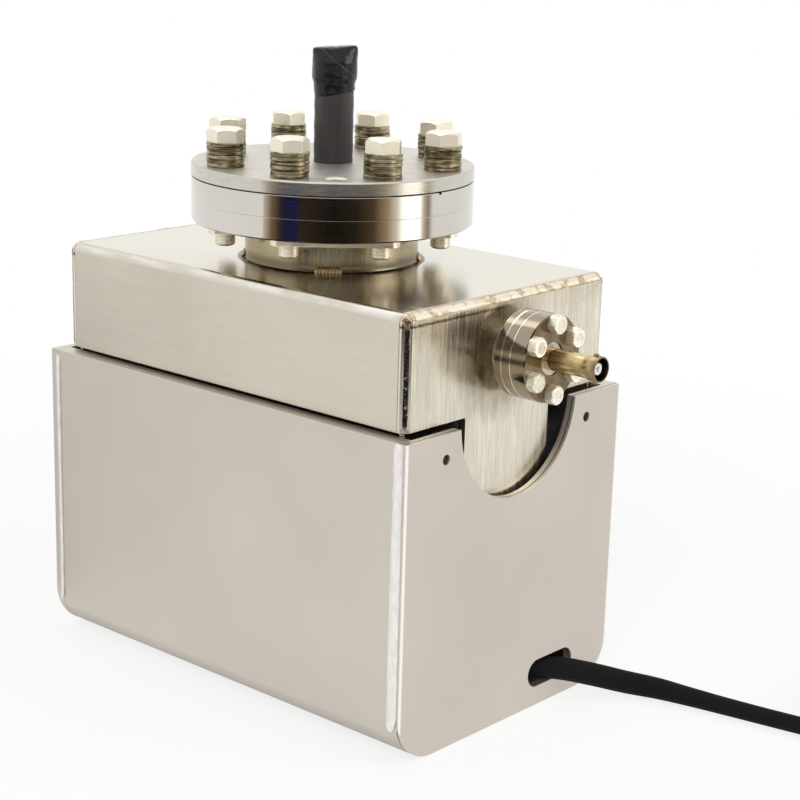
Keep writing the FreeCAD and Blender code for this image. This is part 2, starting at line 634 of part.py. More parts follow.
def hexagon(name, width, height, x="0", y="0", z="0", turn=UPRIGHT):
    item = bind(doc.addObject("Part::Prism", name), Circumradius=f"{width} / sqrt(3)", Height=height)
    item.Polygon = 6
    return place(item, x, y, z, turn)


def bolt(name, width, head, shank, length):
    """A hexagon-head bolt whose head stands on z = 0, with a bevelled end to its shank."""
    bevel = f"{shank} / 10"
    tip = bind(doc.addObject("Part::Cone", name + "_tip"),
               Radius1=f"{shank} / 2 - {bevel}", Radius2=f"{shank} / 2", Height=bevel)
    place(tip, z=f"-{length}")
    return fuse(name, [hexagon(name + "_head", width, head), tip,
                       cylinder(name + "_shank", shank, f"{length} - {bevel}",
                                z=f"{bevel} - {length}")])


def moved(item, x="0", y="0", z="0"):
    """The item's solid carried to a place worked out from the sheet."""
    doc.recompute()
    shape = item.Shape.copy()
    shape.translate(Vector(amount(x), amount(y), amount(z)))
    feature = doc.addObject("Part::Feature", item.Name + "_placed")
    feature.Shape = shape
    return feature


def cover_fasteners():
    count = size["bolt_count"]
    first = 180 / count
    reach = "bolt_circle / 2"
    model = bolt("cover_bolt", "bolt_head_width", "bolt_head_height", "bolt_diameter", "bolt_length")
    single = moved(model, x=reach, z=HEAD_LEVEL)
    piece(round_pattern("cover_bolt_ring", single, count, first), "cover_bolts")
    washer = pipe("washer", "washer_diameter", "bolt_hole", "washer_thickness")
    stack = []
    for level in range(int(size["washer_count"])):
        stack.append(moved(washer, x=reach, z=f"{COVER_TOP} + {level} * washer_thickness"))
    stack_group = compound("washer_stack", stack)
    doc.recompute()
    piece(round_pattern("washer_ring", stack_group, count, first), "cover_washers")
    middle = f"{reach} * cos(180 / bolt_count)"
    spread = f"{reach} * sin(180 / bolt_count)"
    bar = box("nut_bar", "nut_bar_width", "nut_bar_length", "nut_bar_thickness",
              f"{middle} - nut_bar_width / 2", "-nut_bar_length / 2",
              f"{FLANGE_LEVEL} - nut_bar_thickness")
    rounded = doc.addObject("Part::Fillet", "nut_bar_rounded")
    rounded.Base = bar
    doc.recompute()
    corner = size["nut_bar_corner"]
    rounded.Edges = [(number, corner, corner) for number, edge in enumerate(bar.Shape.Edges, 1)
                     if edge.BoundBox.ZLength > size["nut_bar_thickness"] / 2]
    threads = [cylinder(f"nut_thread_{side}", "bolt_diameter + thread_play", "2 * nut_bar_thickness",
                        middle, y, f"{FLANGE_LEVEL} - 1.5 * nut_bar_thickness")
               for side, y in (("left", spread), ("right", f"-{spread}"))]
    drilled = cut("plate_nut", rounded, threads)
    doc.recompute()
    piece(round_pattern("plate_nut_ring", drilled, count / 2, 2 * first), "plate_nuts")


# Feedthrough: a short tube, two small flanges with a gasket, and the high-voltage connector.
FEED_SEAT = "((gasket_thickness - feed_gap) / 2)"
FEED_RECESS = f"({FEED_SEAT} + feed_relief)"
SHELL_LENGTH = "(shell_reach + feed_recess_depth)"
SHELL_ROOT = f"({FEED_FACE} + feed_recess_depth)"


def feedthrough():
    piece(pipe("feed_pipe", FEED_TUBE, "feed_bore", "feed_reach + chamber_end + feed_socket",
               y=f"{CHAMBER_FRONT} + chamber_end", z=FEED_LEVEL, turn=TOWARDS_FRONT),
          "feedthrough_tube")
    weld = revolved("feed_fillet", [
        (f"{FEED_TUBE} / 2", "0"), (f"{FEED_TUBE} / 2 + feed_weld", "0"),
        (f"{FEED_TUBE} / 2", "feed_weld"),
    ], y=CHAMBER_FRONT, z=FEED_LEVEL, turn=TOWARDS_FRONT)
    piece(weld, "feedthrough_tube_weld")
    rim = "feed_flange_diameter / 2"
    ridge = "feed_seal / 2"
    thick = "feed_flange_thickness"
    middle = "feed_flange_thickness / 2"
    recess = "(feed_gasket / 2 + gasket_play)"
    base = revolved("feed_base_ring", [
        (f"{FEED_TUBE} / 2", "0"), (f"{rim} - feed_bevel", "0"), (rim, "feed_bevel"),
        (rim, f"{middle} - rim_groove / 2"), (f"{rim} - rim_groove", middle),
        (rim, f"{middle} + rim_groove / 2"), (rim, thick), (recess, thick),
        (recess, f"{thick} - {FEED_RECESS}"),
        (f"{ridge} + 2 * feed_relief", f"{thick} - {FEED_RECESS}"),
        (ridge, f"{thick} - {FEED_SEAT}"),
        (f"{ridge} - feed_relief", f"{thick} - {FEED_RECESS}"),
        ("feed_bore / 2", f"{thick} - {FEED_RECESS}"), ("feed_bore / 2", "feed_socket"),
        (f"{FEED_TUBE} / 2", "feed_socket"),
    ], y=FEED_BACK, z=FEED_LEVEL, turn=TOWARDS_FRONT)
    hole_ring(base, "feed_bolt_hole", "feed_bolt_circle", "feed_bolt_count", "90")
    piece(base, "feedthrough_base_flange")
    piece(pipe("feed_gasket_ring", "feed_gasket", "feed_bore", "gasket_thickness",
               y=f"{FEED_JOINT} + {FEED_SEAT}", z=FEED_LEVEL, turn=TOWARDS_FRONT),
          "feedthrough_gasket")
    front = revolved("feed_front_ring", [
        ("ceramic_diameter / 2", FEED_RECESS), (f"{ridge} - feed_relief", FEED_RECESS),
        (ridge, FEED_SEAT), (f"{ridge} + 2 * feed_relief", FEED_RECESS),
        (recess, FEED_RECESS), (recess, "0"), (rim, "0"), (rim, f"{thick} - feed_bevel"),
        (f"{rim} - feed_bevel", thick), ("feed_recess / 2", thick),
        ("feed_recess / 2", f"{thick} - feed_recess_depth"),
        ("ceramic_diameter / 2", f"{thick} - feed_recess_depth"),
    ], y=f"{FEED_JOINT} - feed_gap", z=FEED_LEVEL, turn=TOWARDS_FRONT)
    hole_ring(front, "feed_bolt_hole", "feed_bolt_circle", "feed_bolt_count", "90")
    piece(front, "feedthrough_flange")
    connector()
    model = bolt("feed_bolt_model", "feed_head_width", "feed_head_height", "feed_bolt",
                 "2 * feed_flange_thickness + feed_gap + feed_bevel")
    doc.recompute()
    single = model.Shape.copy()
    single.rotate(Vector(), Vector(1, 0, 0), 90)
    single.translate(Vector(0, amount(FEED_FACE), amount(f"{FEED_LEVEL} + feed_bolt_circle / 2")))
    placed = doc.addObject("Part::Feature", "feed_bolt_placed")
    placed.Shape = single
    centre = Vector(0, 0, amount(FEED_LEVEL))
    piece(round_pattern("feed_bolt_ring", placed, size["feed_bolt_count"], 0, centre,
                        Vector(0, 1, 0)), "feedthrough_bolts")


def connector():
    mouth = f"({SHELL_LENGTH} - collar_length)"
    shell = revolved("shell_turning", [
        ("shell_bore / 2", "0"), (f"{SHELL_DIAMETER} / 2", "0"),
        (f"{SHELL_DIAMETER} / 2", f"{mouth} - collar_flare"), (f"{COLLAR_DIAMETER} / 2", mouth),
        (f"{COLLAR_DIAMETER} / 2", SHELL_LENGTH), ("collar_bore / 2", SHELL_LENGTH),
        ("collar_bore / 2", mouth), ("shell_bore / 2", mouth),
    ], y=SHELL_ROOT, z=FEED_LEVEL, turn=TOWARDS_FRONT)
    stud_level = f"{CONNECTOR_END} + collar_length / 2"
    length = "(collar_wall + stud_reach)"
    studs = [cylinder(f"bayonet_stud_{side}", "stud_diameter", length, y=stud_level, z=z)
             for side, z in (("top", f"{FEED_LEVEL} + collar_bore / 2"),
                             ("bottom", f"{FEED_LEVEL} - collar_bore / 2 - {length}"))]
    hollow = cylinder("collar_hollow", "collar_bore", "collar_length",
                      y=f"{CONNECTOR_END} + collar_length", z=FEED_LEVEL, turn=TOWARDS_FRONT)
    blank = fuse("shell_blank", [shell] + studs)
    piece(cut("shell_with_studs", blank, [hollow]), "connector_shell")
    ring = pipe("connector_ring", "feed_recess - 2 * ring_play", SHELL_DIAMETER,
                "ring_height", y=SHELL_ROOT, z=FEED_LEVEL, turn=TOWARDS_FRONT)
    piece(ring, "connector_weld_ring")
    filler = f"{mouth} - insulator_setback"
    piece(pipe("insulator_pipe", "shell_bore", "ceramic_diameter", filler, y=SHELL_ROOT,
               z=FEED_LEVEL, turn=TOWARDS_FRONT), "connector_insulator")
    inside = f"({CHAMBER_FRONT} + chamber_end)"
    tip = f"({CONNECTOR_END} + contact_setback)"
    piece(pipe("ceramic_pipe", "ceramic_diameter", "contact_diameter", f"{inside} - {tip}",
               y=inside, z=FEED_LEVEL, turn=TOWARDS_FRONT), "feedthrough_ceramic")
    drop = f"(conductor_inset - {ANODE_LENGTH} / 2)"
    level = cylinder("conductor_level", "contact_diameter", f"{drop} - {tip} - contact_recess",
                     y=drop, z=FEED_LEVEL, turn=TOWARDS_FRONT)
    upright = cylinder("conductor_upright", "contact_diameter", f"{FEED_LEVEL} - {ANODE_TOP}",
                       y=drop, z=ANODE_TOP)
    bend = bind(doc.addObject("Part::Sphere", "conductor_bend"), Radius="contact_diameter / 2")
    place(bend, y=drop, z=FEED_LEVEL)
    piece(fuse("conductor", [level, upright, bend]), "high_voltage_conductor")


# Pumping elements inside the pocket: honeycomb anode between two titanium cathodes.
ROW_PITCH = f"({CELL_PITCH} * sqrt(3) / 2)"
ANODE_HEIGHT = f"(2 * {ROW_PITCH} + 2 * {CELL_PITCH} / sqrt(3) + 2 * cell_wall)"
ANODE_LENGTH = f"(cell_columns * {CELL_PITCH} + 2 * cell_wall)"
ANODE_TOP = f"({POCKET_MIDDLE} + {ANODE_HEIGHT} / 2)"


def elements():
    piece(anode(), "anode_cells")
    plate_length = f"({CHAMBER_LENGTH} - 2 * chamber_end - 2 * cathode_gap)"
    plate_y = f"-{plate_length} / 2"
    plate_z = f"{POCKET_MIDDLE} - cathode_height / 2"
    piece(box("cathode_left_plate", "cathode_thickness", plate_length, "cathode_height",
              f"-{POCKET_HALF}", plate_y, plate_z), "cathode_left")
    piece(box("cathode_right_plate", "cathode_thickness", plate_length, "cathode_height",
              f"{POCKET_HALF} - cathode_thickness", plate_y, plate_z), "cathode_right")
    gap = f"({POCKET_HALF} - cathode_thickness - anode_thickness / 2)"
    posts, shields = [], []
    for end, sign in (("front", "-"), ("rear", "")):
        y = f"{sign}({ANODE_LENGTH} / 2 - {CELL_PITCH} / 4)"
        for side, x in (("left", f"-anode_thickness / 2 - {gap}"), ("right", "anode_thickness / 2")):
            posts.append(cylinder(f"post_{end}_{side}", "standoff_diameter", gap,
                                  x, y, POCKET_MIDDLE, TOWARDS_SIDE))
            wall = f"{x} + {gap} - shield_length" if side == "right" else x
            floor = f"{x} + {gap} - cell_wall / 2" if side == "right" else x
            cup = cylinder(f"cup_{end}_{side}", "shield_diameter", "shield_length",
                           wall, y, POCKET_MIDDLE, TOWARDS_SIDE)
            hollow_start = wall if side == "right" else f"{wall} + cell_wall / 2"
            hollow = cylinder(f"cup_hollow_{end}_{side}", "shield_diameter - cell_wall",
                              "shield_length - cell_wall / 2", hollow_start, y, POCKET_MIDDLE,
                              TOWARDS_SIDE)
            bore = cylinder(f"cup_bore_{end}_{side}", "standoff_diameter", "shield_length",
                            wall, y, POCKET_MIDDLE, TOWARDS_SIDE)
            shields.append(cut(f"shield_{end}_{side}", cup, [hollow, bore]))
    piece(compound("posts", posts), "anode_standoffs")
    piece(compound("shields", shields), "sputter_shields")


def anode():
    """A block of hexagonal cells in three staggered rows, open along the magnetic field."""
    body = doc.addObject("PartDesign::Body", "anode")
    pad = body.newObject("PartDesign::Pad", "anode_pad")
    length, height = f"{ANODE_LENGTH} / 2", f"{ANODE_HEIGHT} / 2"
    pad.Profile = outline(body, "YZ_Plane", [
        (f"-{length}", f"-{height}"), (length, f"-{height}"), (length, height), (f"-{length}", height)])
    bind(pad, Length="anode_thickness")
    place(body, x="-anode_thickness / 2", z=POCKET_MIDDLE)
    doc.recompute()
    flat = "cell_width / 2"
    point = "cell_width / sqrt(3)"
    for row, (level, columns) in enumerate(((f"-{ROW_PITCH}", "cell_columns"),
                                            ("0", "cell_columns - 1"),
                                            (ROW_PITCH, "cell_columns"))):
        left = f"(-({columns} - 1) / 2 * {CELL_PITCH})"
        sketch = outline(body, "YZ_Plane", [
            (left, f"{level} - {point}"), (f"{left} + {flat}", f"{level} - {point} / 2"),
            (f"{left} + {flat}", f"{level} + {point} / 2"), (left, f"{level} + {point}"),
            (f"{left} - {flat}", f"{level} + {point} / 2"),
            (f"{left} - {flat}", f"{level} - {point} / 2")])
        cell = body.newObject("PartDesign::Pocket", f"cell_{row}")
        cell.Profile = sketch
        cell.Type = "ThroughAll"
        cell.Reversed = True
        doc.recompute()
        cells = body.newObject("PartDesign::LinearPattern", f"cells_{row}")
        cells.Originals = [cell]
        cells.Direction = (sketch, ["H_Axis"])
        bind(cells, Length=f"({columns} - 1) * {CELL_PITCH}", Occurrences=columns)
        body.Tip = cells
        doc.recompute()
    return body


# Magnets, heaters and supports between the pocket and the yoke.
def inside_the_yoke():
    wall = "housing_width / 2 - yoke_wall"
    thickness = f"({wall} - pocket_width / 2 - heater_thickness - magnet_gap)"
    length = "(housing_length / 2 - magnet_setback)"
    height = "(housing_height - magnet_drop - magnet_level)"
    for side, x in (("left", f"-({wall})"), ("right", f"{wall} - {thickness}")):
        blocks = [box(f"magnet_{side}_{end}", thickness, length, height, x, y, "magnet_level")
                  for end, y in (("front", f"-{length}"), ("rear", "0"))]
        piece(compound(f"magnets_{side}_pair", blocks), f"magnets_{side}")
        heater_x = "pocket_width / 2" if side == "right" else "-pocket_width / 2 - heater_thickness"
        piece(box(f"heater_{side}_strip", "heater_thickness", "heater_length", "heater_height",
                  heater_x, "-heater_length / 2", f"{POCKET_MIDDLE} - heater_height / 2"),
              f"bakeout_heater_{side}")
    blocks = [box(f"support_{end}", "support_width", "support_width", "pocket_level - yoke_wall",
                  "-support_width / 2", f"{middle} - support_width / 2", "yoke_wall")
              for end, middle in (("front", "support_setback - housing_length / 2"),
                                  ("rear", "housing_length / 2 - support_setback"))]
    piece(compound("supports", blocks), "pocket_supports")


# Heater lead: terminal block, wires, the lead across the floor, and its stored coil with the plug.
# The route is chosen by hand, from a point on the floor below the middle of the slot.
SLOT_FOOT = Vector(size["slot_side"], -size["housing_length"] / 2, 0)
LEAD_REST = size["lead_diameter"] / 2 + 0.05
LEAD_ROUTE = [SLOT_FOOT + step for step in (
    Vector(-10.8, 13.8, 13.5),
    Vector(2, 0.8, 13.4),
    Vector(16.2, -10.8, 8.6),
    Vector(25.9, -19.8, 4.9),
    Vector(31.7, -31, 3.7),
    Vector(34.7, -44, LEAD_REST),
    Vector(38.1, -61, LEAD_REST),
    Vector(41.8, -83, LEAD_REST),
    Vector(46.1, -105, LEAD_REST),
)]
GLAND_FACE = LEAD_ROUTE[0]
BEND_SHARE = 0.45
TIE_ANGLE = 40
TAIL_START = 193
TAIL_STEP = 22


def tube_along(name, points, diameter):
    """A round tube along straight runs joined by tangent arcs, and a note of its bends."""
    joints = []
    for before, corner, after in zip(points, points[1:], points[2:]):
        back, ahead = before - corner, after - corner
        turn = math.pi - back.getAngle(ahead)
        trim = BEND_SHARE * min(back.Length, ahead.Length)
        radius = trim / math.tan(turn / 2)
        start = corner + back.normalize() * trim
        end = corner + ahead.normalize() * trim
        centre_way = (back + ahead).normalize()
        to_centre = math.hypot(radius, trim)
        middle = corner + centre_way * (to_centre - radius)
        joints.append((start, middle, end, radius))
    edges = []
    here = points[0]
    for start, middle, end, radius in joints:
        edges.append(Part.LineSegment(here, start).toShape())
        edges.append(Part.Arc(start, middle, end).toShape())
        here = end
    edges.append(Part.LineSegment(here, points[-1]).toShape())
    path = Part.Wire(edges)
    disc = Part.Face(Part.Wire([Part.makeCircle(diameter / 2, points[0], points[1] - points[0])]))
    solid = path.makePipe(disc)
    share = solid.Volume / (math.pi * diameter ** 2 / 4 * path.Length)
    bends = ", ".join(f"{radius:.0f}" for start, middle, end, radius in joints)
    print(f"{name}: length {path.Length:.1f}, bend radii {bends}, volume share {share:.4f}")
    feature = doc.addObject("Part::Feature", name)
    feature.Shape = solid
    return feature


def heater_terminal():
    """A block on the yoke floor whose round collar points along the start of the lead."""
    way = LEAD_ROUTE[1] - LEAD_ROUTE[0]
    way.z = 0
    heading = math.degrees(math.atan2(way.y, way.x))
    turn = Rotation(Vector(0, 0, 1), heading).multiply(TOWARDS_SIDE)
    root = GLAND_FACE - way.normalize() * (size["gland_length"] + size["lead_diameter"])
    collar = cylinder("gland_collar", "lead_diameter + 2 * gland_wall",
                      "gland_length + lead_diameter", root.x, root.y, root.z, turn)
    right = GLAND_FACE.x - size["gland_side"]
    left = right - size["terminal_width"]
    front = GLAND_FACE.y + size["gland_front"]
    block = box("terminal_block", "terminal_width", "terminal_length", "terminal_height",
                left, front, "yoke_wall")
    piece(fuse("terminal", [block, collar]), "heater_terminal")
    wires = []
    level = size["yoke_wall"] + size["terminal_height"] / 2
    beside = amount("pocket_width / 2 + heater_thickness + wire_diameter / 2 + wire_play")
    row = front + size["terminal_length"] / 2
    rise = amount(f"{POCKET_MIDDLE} - heater_height / 2 + wire_lap")
    for side, start, sign in (("left", left, -1), ("right", right, 1)):
        points = [Vector(start, row, level), Vector(sign * beside, row, level),
                  Vector(sign * beside, row, rise)]
        wires.append(tube_along(f"wire_{side}", points, size["wire_diameter"]))
    piece(compound("wires", wires), "heater_wires")


def round_coil(angle, level, centre):
    """A point on the middle circle of the stored coil."""
    radius = size["coil_diameter"] / 2
    turn = math.radians(angle)
    return centre + Vector(radius * math.cos(turn), radius * math.sin(turn), level - centre.z)


def heater_lead():
    piece(tube_along("lead_tube", LEAD_ROUTE, size["lead_diameter"]), "heater_lead")
    diameter = size["lead_diameter"]
    last = LEAD_ROUTE[-1] - LEAD_ROUTE[-2]
    last.z = 0
    last.normalize()
    side = Vector(-last.y, last.x, 0)
    outer_turn = (size["coil_diameter"] + (size["coil_rows"] - 1) * diameter) / 2
    outside = outer_turn + diameter / 2
    approach = math.sqrt(outside ** 2 - (outer_turn - diameter / 2) ** 2) + 0.2
    centre = LEAD_ROUTE[-1] + last * approach + side * outer_turn
    centre.z = 0
    width = "(coil_rows * lead_diameter)"
    height = "(coil_layers * lead_diameter)"
    bevel = "(lead_diameter / 3)"
    near, far = f"(coil_diameter / 2 - {width} / 2)", f"(coil_diameter / 2 + {width} / 2)"
    coil = revolved("coil_turning", [
        (near, bevel), (f"{near} + {bevel}", "0"), (f"{far} - {bevel}", "0"), (far, bevel),
        (far, f"{height} - {bevel}"), (f"{far} - {bevel}", height),
        (f"{near} + {bevel}", height), (near, f"{height} - {bevel}"),
    ], x=f"{centre.x}", y=f"{centre.y}")
    piece(coil, "heater_lead_coil")
    strap = box("tie_outside", f"{width} + 2 * tie_thickness", "tie_width",
                f"{height} + tie_thickness", f"{near} - tie_thickness", "-tie_width / 2")
    inside = box("tie_inside", width, "tie_width", height, near, "-tie_width / 2")
    tie = cut("tie", strap, [inside])
    tie.Placement = Placement(centre, Rotation(Vector(0, 0, 1), TIE_ANGLE))
    piece(tie, "heater_lead_tie")
    top = size["coil_layers"] * diameter
    plug_level = top + size["plug_height"] / 2
    levels = (top + diameter / 2 + 0.1, top + diameter / 2 + 0.4, plug_level - 0.5, plug_level)
    tail = [round_coil(TAIL_START + TAIL_STEP * number, level, centre)
            for number, level in enumerate(levels)]
    piece(tube_along("tail_tube", tail, diameter), "heater_lead_tail")
    plug(tail[-1], tail[-1] - tail[-2])


def plug(start, way):
    """A moulded plug with a tapered neck and three flat prongs, lying on the coil."""
    way.z = 0
    heading = Rotation(Vector(0, 0, 1), math.degrees(math.atan2(way.y, way.x)))
    body = box("plug_block", "plug_length", "plug_width", "plug_height",
               "plug_neck", "-plug_width / 2", "-plug_height / 2")
    rounded = doc.addObject("Part::Fillet", "plug_rounded")
    rounded.Base = body
    doc.recompute()
    radius = size["plug_corner"]
    rounded.Edges = [(number, radius, radius) for number, edge in enumerate(body.Shape.Edges, 1)
                     if edge.BoundBox.XLength > size["plug_length"] / 2]
    neck = bind(doc.addObject("Part::Cone", "plug_taper"), Height="plug_neck",
                Radius1="lead_diameter / 2 + gland_wall", Radius2="plug_height / 2")
    place(neck, turn=TOWARDS_SIDE)
    shell = fuse("plug", [rounded, neck])
    shell.Placement = Placement(start, heading)
    piece(shell, "heater_plug")
    upright = ("prong_thickness", "prong_width")
    flat = ("prong_width", "prong_thickness")
    prongs = [box(f"prong_{side}", "prong_length", width, height, "plug_neck + plug_length",
                  f"{middle} - {width} / 2", f"-{height} / 2")
              for side, middle, (width, height) in (("left", "plug_width / 4", upright),
                                                    ("centre", "0", flat),
                                                    ("right", "-plug_width / 4", upright))]
    group = compound("prongs", prongs)
    group.Placement = Placement(start, heading)
    piece(group, "plug_prongs")


housing()
chamber()
inlet()
shipping_cover()
feedthrough()
elements()
inside_the_yoke()
heater_terminal()
heater_lead()
doc.recompute()

faults = [item.Name for item in doc.Objects if "Invalid" in item.State or "Error" in item.State]
for item in pieces:
    if item.Shape.isNull() or not item.Shape.isValid() or not item.Shape.Solids:
        faults.append(item.Label)
if faults:
    raise RuntimeError("failed: " + ", ".join(faults))

os.makedirs("parts", exist_ok=True)
for item in pieces:
    item.Shape.exportStep(f"parts/{item.Label}.step")
print(f"{len(pieces)} sub-parts written")
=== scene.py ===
import json
import math
import random
from collections import namedtuple

import bmesh
import bpy
from bpy.props import FloatProperty, FloatVectorProperty, IntProperty, PointerProperty
from mathutils import Matrix, Vector

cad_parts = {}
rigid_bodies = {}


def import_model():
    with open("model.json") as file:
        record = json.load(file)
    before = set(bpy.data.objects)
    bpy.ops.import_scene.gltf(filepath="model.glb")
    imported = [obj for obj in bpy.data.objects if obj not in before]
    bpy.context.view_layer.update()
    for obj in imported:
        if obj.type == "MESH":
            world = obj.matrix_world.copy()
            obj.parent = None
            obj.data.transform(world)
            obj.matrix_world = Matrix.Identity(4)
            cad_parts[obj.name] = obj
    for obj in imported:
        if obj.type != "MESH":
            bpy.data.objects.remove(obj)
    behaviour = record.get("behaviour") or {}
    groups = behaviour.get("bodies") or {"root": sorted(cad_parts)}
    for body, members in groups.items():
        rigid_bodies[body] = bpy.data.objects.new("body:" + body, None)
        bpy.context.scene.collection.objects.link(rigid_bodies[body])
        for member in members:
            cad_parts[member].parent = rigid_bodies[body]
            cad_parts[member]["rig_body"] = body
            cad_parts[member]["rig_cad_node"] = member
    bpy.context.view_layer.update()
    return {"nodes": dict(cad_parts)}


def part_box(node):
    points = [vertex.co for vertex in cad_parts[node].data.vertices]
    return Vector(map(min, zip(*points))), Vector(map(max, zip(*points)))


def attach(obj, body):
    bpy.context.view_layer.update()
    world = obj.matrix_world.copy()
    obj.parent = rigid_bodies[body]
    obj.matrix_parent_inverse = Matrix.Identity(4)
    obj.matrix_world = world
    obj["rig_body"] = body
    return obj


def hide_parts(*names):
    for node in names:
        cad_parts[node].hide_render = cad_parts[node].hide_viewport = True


bl_info = {
    "name": "Ion pump dresser",
    "version": (1, 0, 0),
    "blender": (4, 5, 0),
    "location": "3D View > Sidebar > Pump",
    "description": "Dresses the packed ion pump with welds, bolts, lead and finishes, and sets its studio",
    "category": "Object",
}

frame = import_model()
MM = 0.001

# The bolt circles: radius in millimetres, how many bolts, and the first bolt's angle in degrees.
COVER_BOLTS = (46.1, 8, 22.5)
SMALL_BOLTS = (13.5, 6, 90)
COVER_BOLT_HOLE = 4.2


def millimetres(default, name, description):
    """A length that a user may change, kept in metres."""
    return FloatProperty(name=name, description=description, default=default * MM, min=0.0,
                         unit="LENGTH", subtype="DISTANCE", precision=5)


def power(default, name, description):
    """The power of a lamp that a user may change."""
    return FloatProperty(name=name, description=description, default=default, min=0.0,
                         unit="POWER")


def tone(default, name, description):
    """A colour that a user may change."""
    return FloatVectorProperty(name=name, description=description, default=default, size=3,
                               min=0.0, max=1.0, subtype="COLOR")


class StageSettings(bpy.types.PropertyGroup):
    """Floor, lamps and camera."""
    floor: tone((0.86, 0.86, 0.86), "Floor", "Colour of the studio floor")
    floor_glow: FloatProperty(name="Floor glow", description="Share of plain white in the floor",
                              default=0.8, min=0.0, max=1.0, subtype="FACTOR")
    sky: FloatProperty(name="Sky", description="Level of the soft light from all round",
                       default=0.55, min=0.0, max=2.0)
    key: power(16.0, "Key lamp", "Large soft lamp at the left")
    fill: power(9.0, "Fill lamp", "Soft lamp at the right")
    top: power(6.5, "Top lamp", "Soft lamp above and behind")
    rear: power(0.8, "Rear lamp", "Low soft lamp behind, for the top faces")
    lens: FloatProperty(name="Lens", description="Focal length in millimetres", default=86.4,
                        min=10.0, subtype="DISTANCE_CAMERA")


class LeadSettings(bpy.types.PropertyGroup):
    """The braided heater lead."""
    diameter: millimetres(7, "Diameter", "Braided lead across")
    length: millimetres(1500, "Length", "Whole lead from the terminal to the plug")
    coil: millimetres(35, "Coil radius", "Middle of the stored turns")
    turn_points: IntProperty(name="Points in a turn", description="Route points in one stored turn",
                             default=14, min=12, max=40)
    braid: tone((0.005, 0.005, 0.005), "Braid", "Colour of the braid")


class HousingSettings(bpy.types.PropertyGroup):
    """The magnet housing."""
    edge: millimetres(0.45, "Edge", "Broken edges of the plates")
    coat: tone((0.62, 0.57, 0.505), "Nickel coat", "Satin nickel of the housing")
    ripple: millimetres(1.9, "Ripple", "Length of one ripple of a weld bead")


class ChamberSettings(bpy.types.PropertyGroup):
    """The vacuum chamber."""
    edge: millimetres(0.3, "Edge", "Broken edges of the chamber")
    steel: tone((0.62, 0.58, 0.485), "Brushed steel", "Brushed steel of the chamber")
    ripple: millimetres(0.9, "Ripple", "Length of one ripple of the fine welds")
    slope: millimetres(2.8, "Slope", "Leg of the sloped edges that carry the fine welds")


class InletSettings(bpy.types.PropertyGroup):
    """The inlet flange, its cover and their bolts."""
    steel: tone((0.66, 0.63, 0.58), "Polished steel", "Polished steel of the flange")
    cover: tone((0.59, 0.56, 0.50), "Cover", "Turned steel of the shipping cover")
    bolt: tone((0.86, 0.81, 0.67), "Bolts", "Plated steel of the bolts")
    washer: tone((0.34, 0.285, 0.17), "Washers", "Yellow chromate of the washers")
    hairline: millimetres(0.22, "Hairline", "Fine line round the middle of the flange's rim")


class PumpOutSettings(bpy.types.PropertyGroup):
    """The pump-out tube of the cover."""
    sleeve: tone((0.022, 0.021, 0.022), "Sleeve", "Shrink sleeve")
    tape: tone((0.0048, 0.0048, 0.0056), "Tape", "Glossy tape of the tip")


class FeedthroughSettings(bpy.types.PropertyGroup):
    """The high-voltage feedthrough."""
    flange: tone((0.36, 0.30, 0.22), "Small flanges", "Polished steel of the small flanges")
    brass: tone((0.62, 0.485, 0.255), "Brass", "Brass shell of the connector")
    ceramic: tone((0.86, 0.85, 0.82), "Ceramic", "White ceramic")


def settings(name):
    """The settings of one group of pieces."""
    return getattr(bpy.context.scene, "pump_" + name)


def chosen_tone(group, key):
    """One colour out of the settings."""
    return tuple(getattr(settings(group), key))


def dimmed(colour, share):
    """A colour made darker, or paler where the share is above 1."""
    return tuple(part * share for part in colour)


Corner = namedtuple("Corner", "x y z")


def corners(node):
    """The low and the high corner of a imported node's box, in millimetres."""
    return [Corner(*(part / MM for part in corner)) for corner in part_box(node)]


def deselect():
    """Nothing is selected after this."""
    if bpy.context.object and bpy.context.object.mode != "OBJECT":
        bpy.ops.object.mode_set(mode="OBJECT")
    bpy.ops.object.select_all(action="DESELECT")


def take(piece):
    """Makes one piece the selected and active one."""
    deselect()
    piece.hide_viewport = False
    piece.select_set(True)
    bpy.context.view_layer.objects.active = piece


def called(name):
    """Names the object that an operator has just added."""
    piece = bpy.context.object
    piece.name = name
    piece.data.name = name
    return piece


def settle(piece):
    """Puts a piece's place, turn and scale into its mesh."""
    take(piece)
    bpy.ops.object.transform_apply(location=True, rotation=True, scale=True)
    return piece


def pick(piece, test, kind="FACE"):
    """In edit mode, selects the faces or vertices that pass a test."""
    take(piece)
    bpy.ops.object.mode_set(mode="EDIT")
    bpy.ops.mesh.select_mode(type=kind)
    bpy.ops.mesh.select_all(action="DESELECT")
    mesh = bmesh.from_edit_mesh(piece.data)
    for part in mesh.faces if kind == "FACE" else mesh.verts:
        if test(part):
            part.select_set(True)
    mesh.select_flush_mode()
    bmesh.update_edit_mesh(piece.data)


def leave_edit():
    """Back to object mode."""
    bpy.ops.object.mode_set(mode="OBJECT")


def outwards(piece):
    """Merges doubles and turns every face outwards."""
    pick(piece, lambda part: True, "VERT")
    bpy.ops.mesh.remove_doubles(threshold=1e-6)
    bpy.ops.mesh.normals_make_consistent(inside=False)
    leave_edit()
    return piece


def smooth(piece, angle=32):
    """Smooth shading that keeps edges sharper than the angle."""
    take(piece)
    bpy.ops.object.shade_smooth_by_angle(angle=math.radians(angle))
    return piece


def finished_modifier(piece, kind, **values):
    """Adds a modifier with its values and applies it."""
    take(piece)
    bpy.ops.object.modifier_add(type=kind)
    modifier = piece.modifiers[-1]
    for key, value in values.items():
        setattr(modifier, key, value)
    bpy.ops.object.modifier_apply(modifier=modifier.name)
    return piece


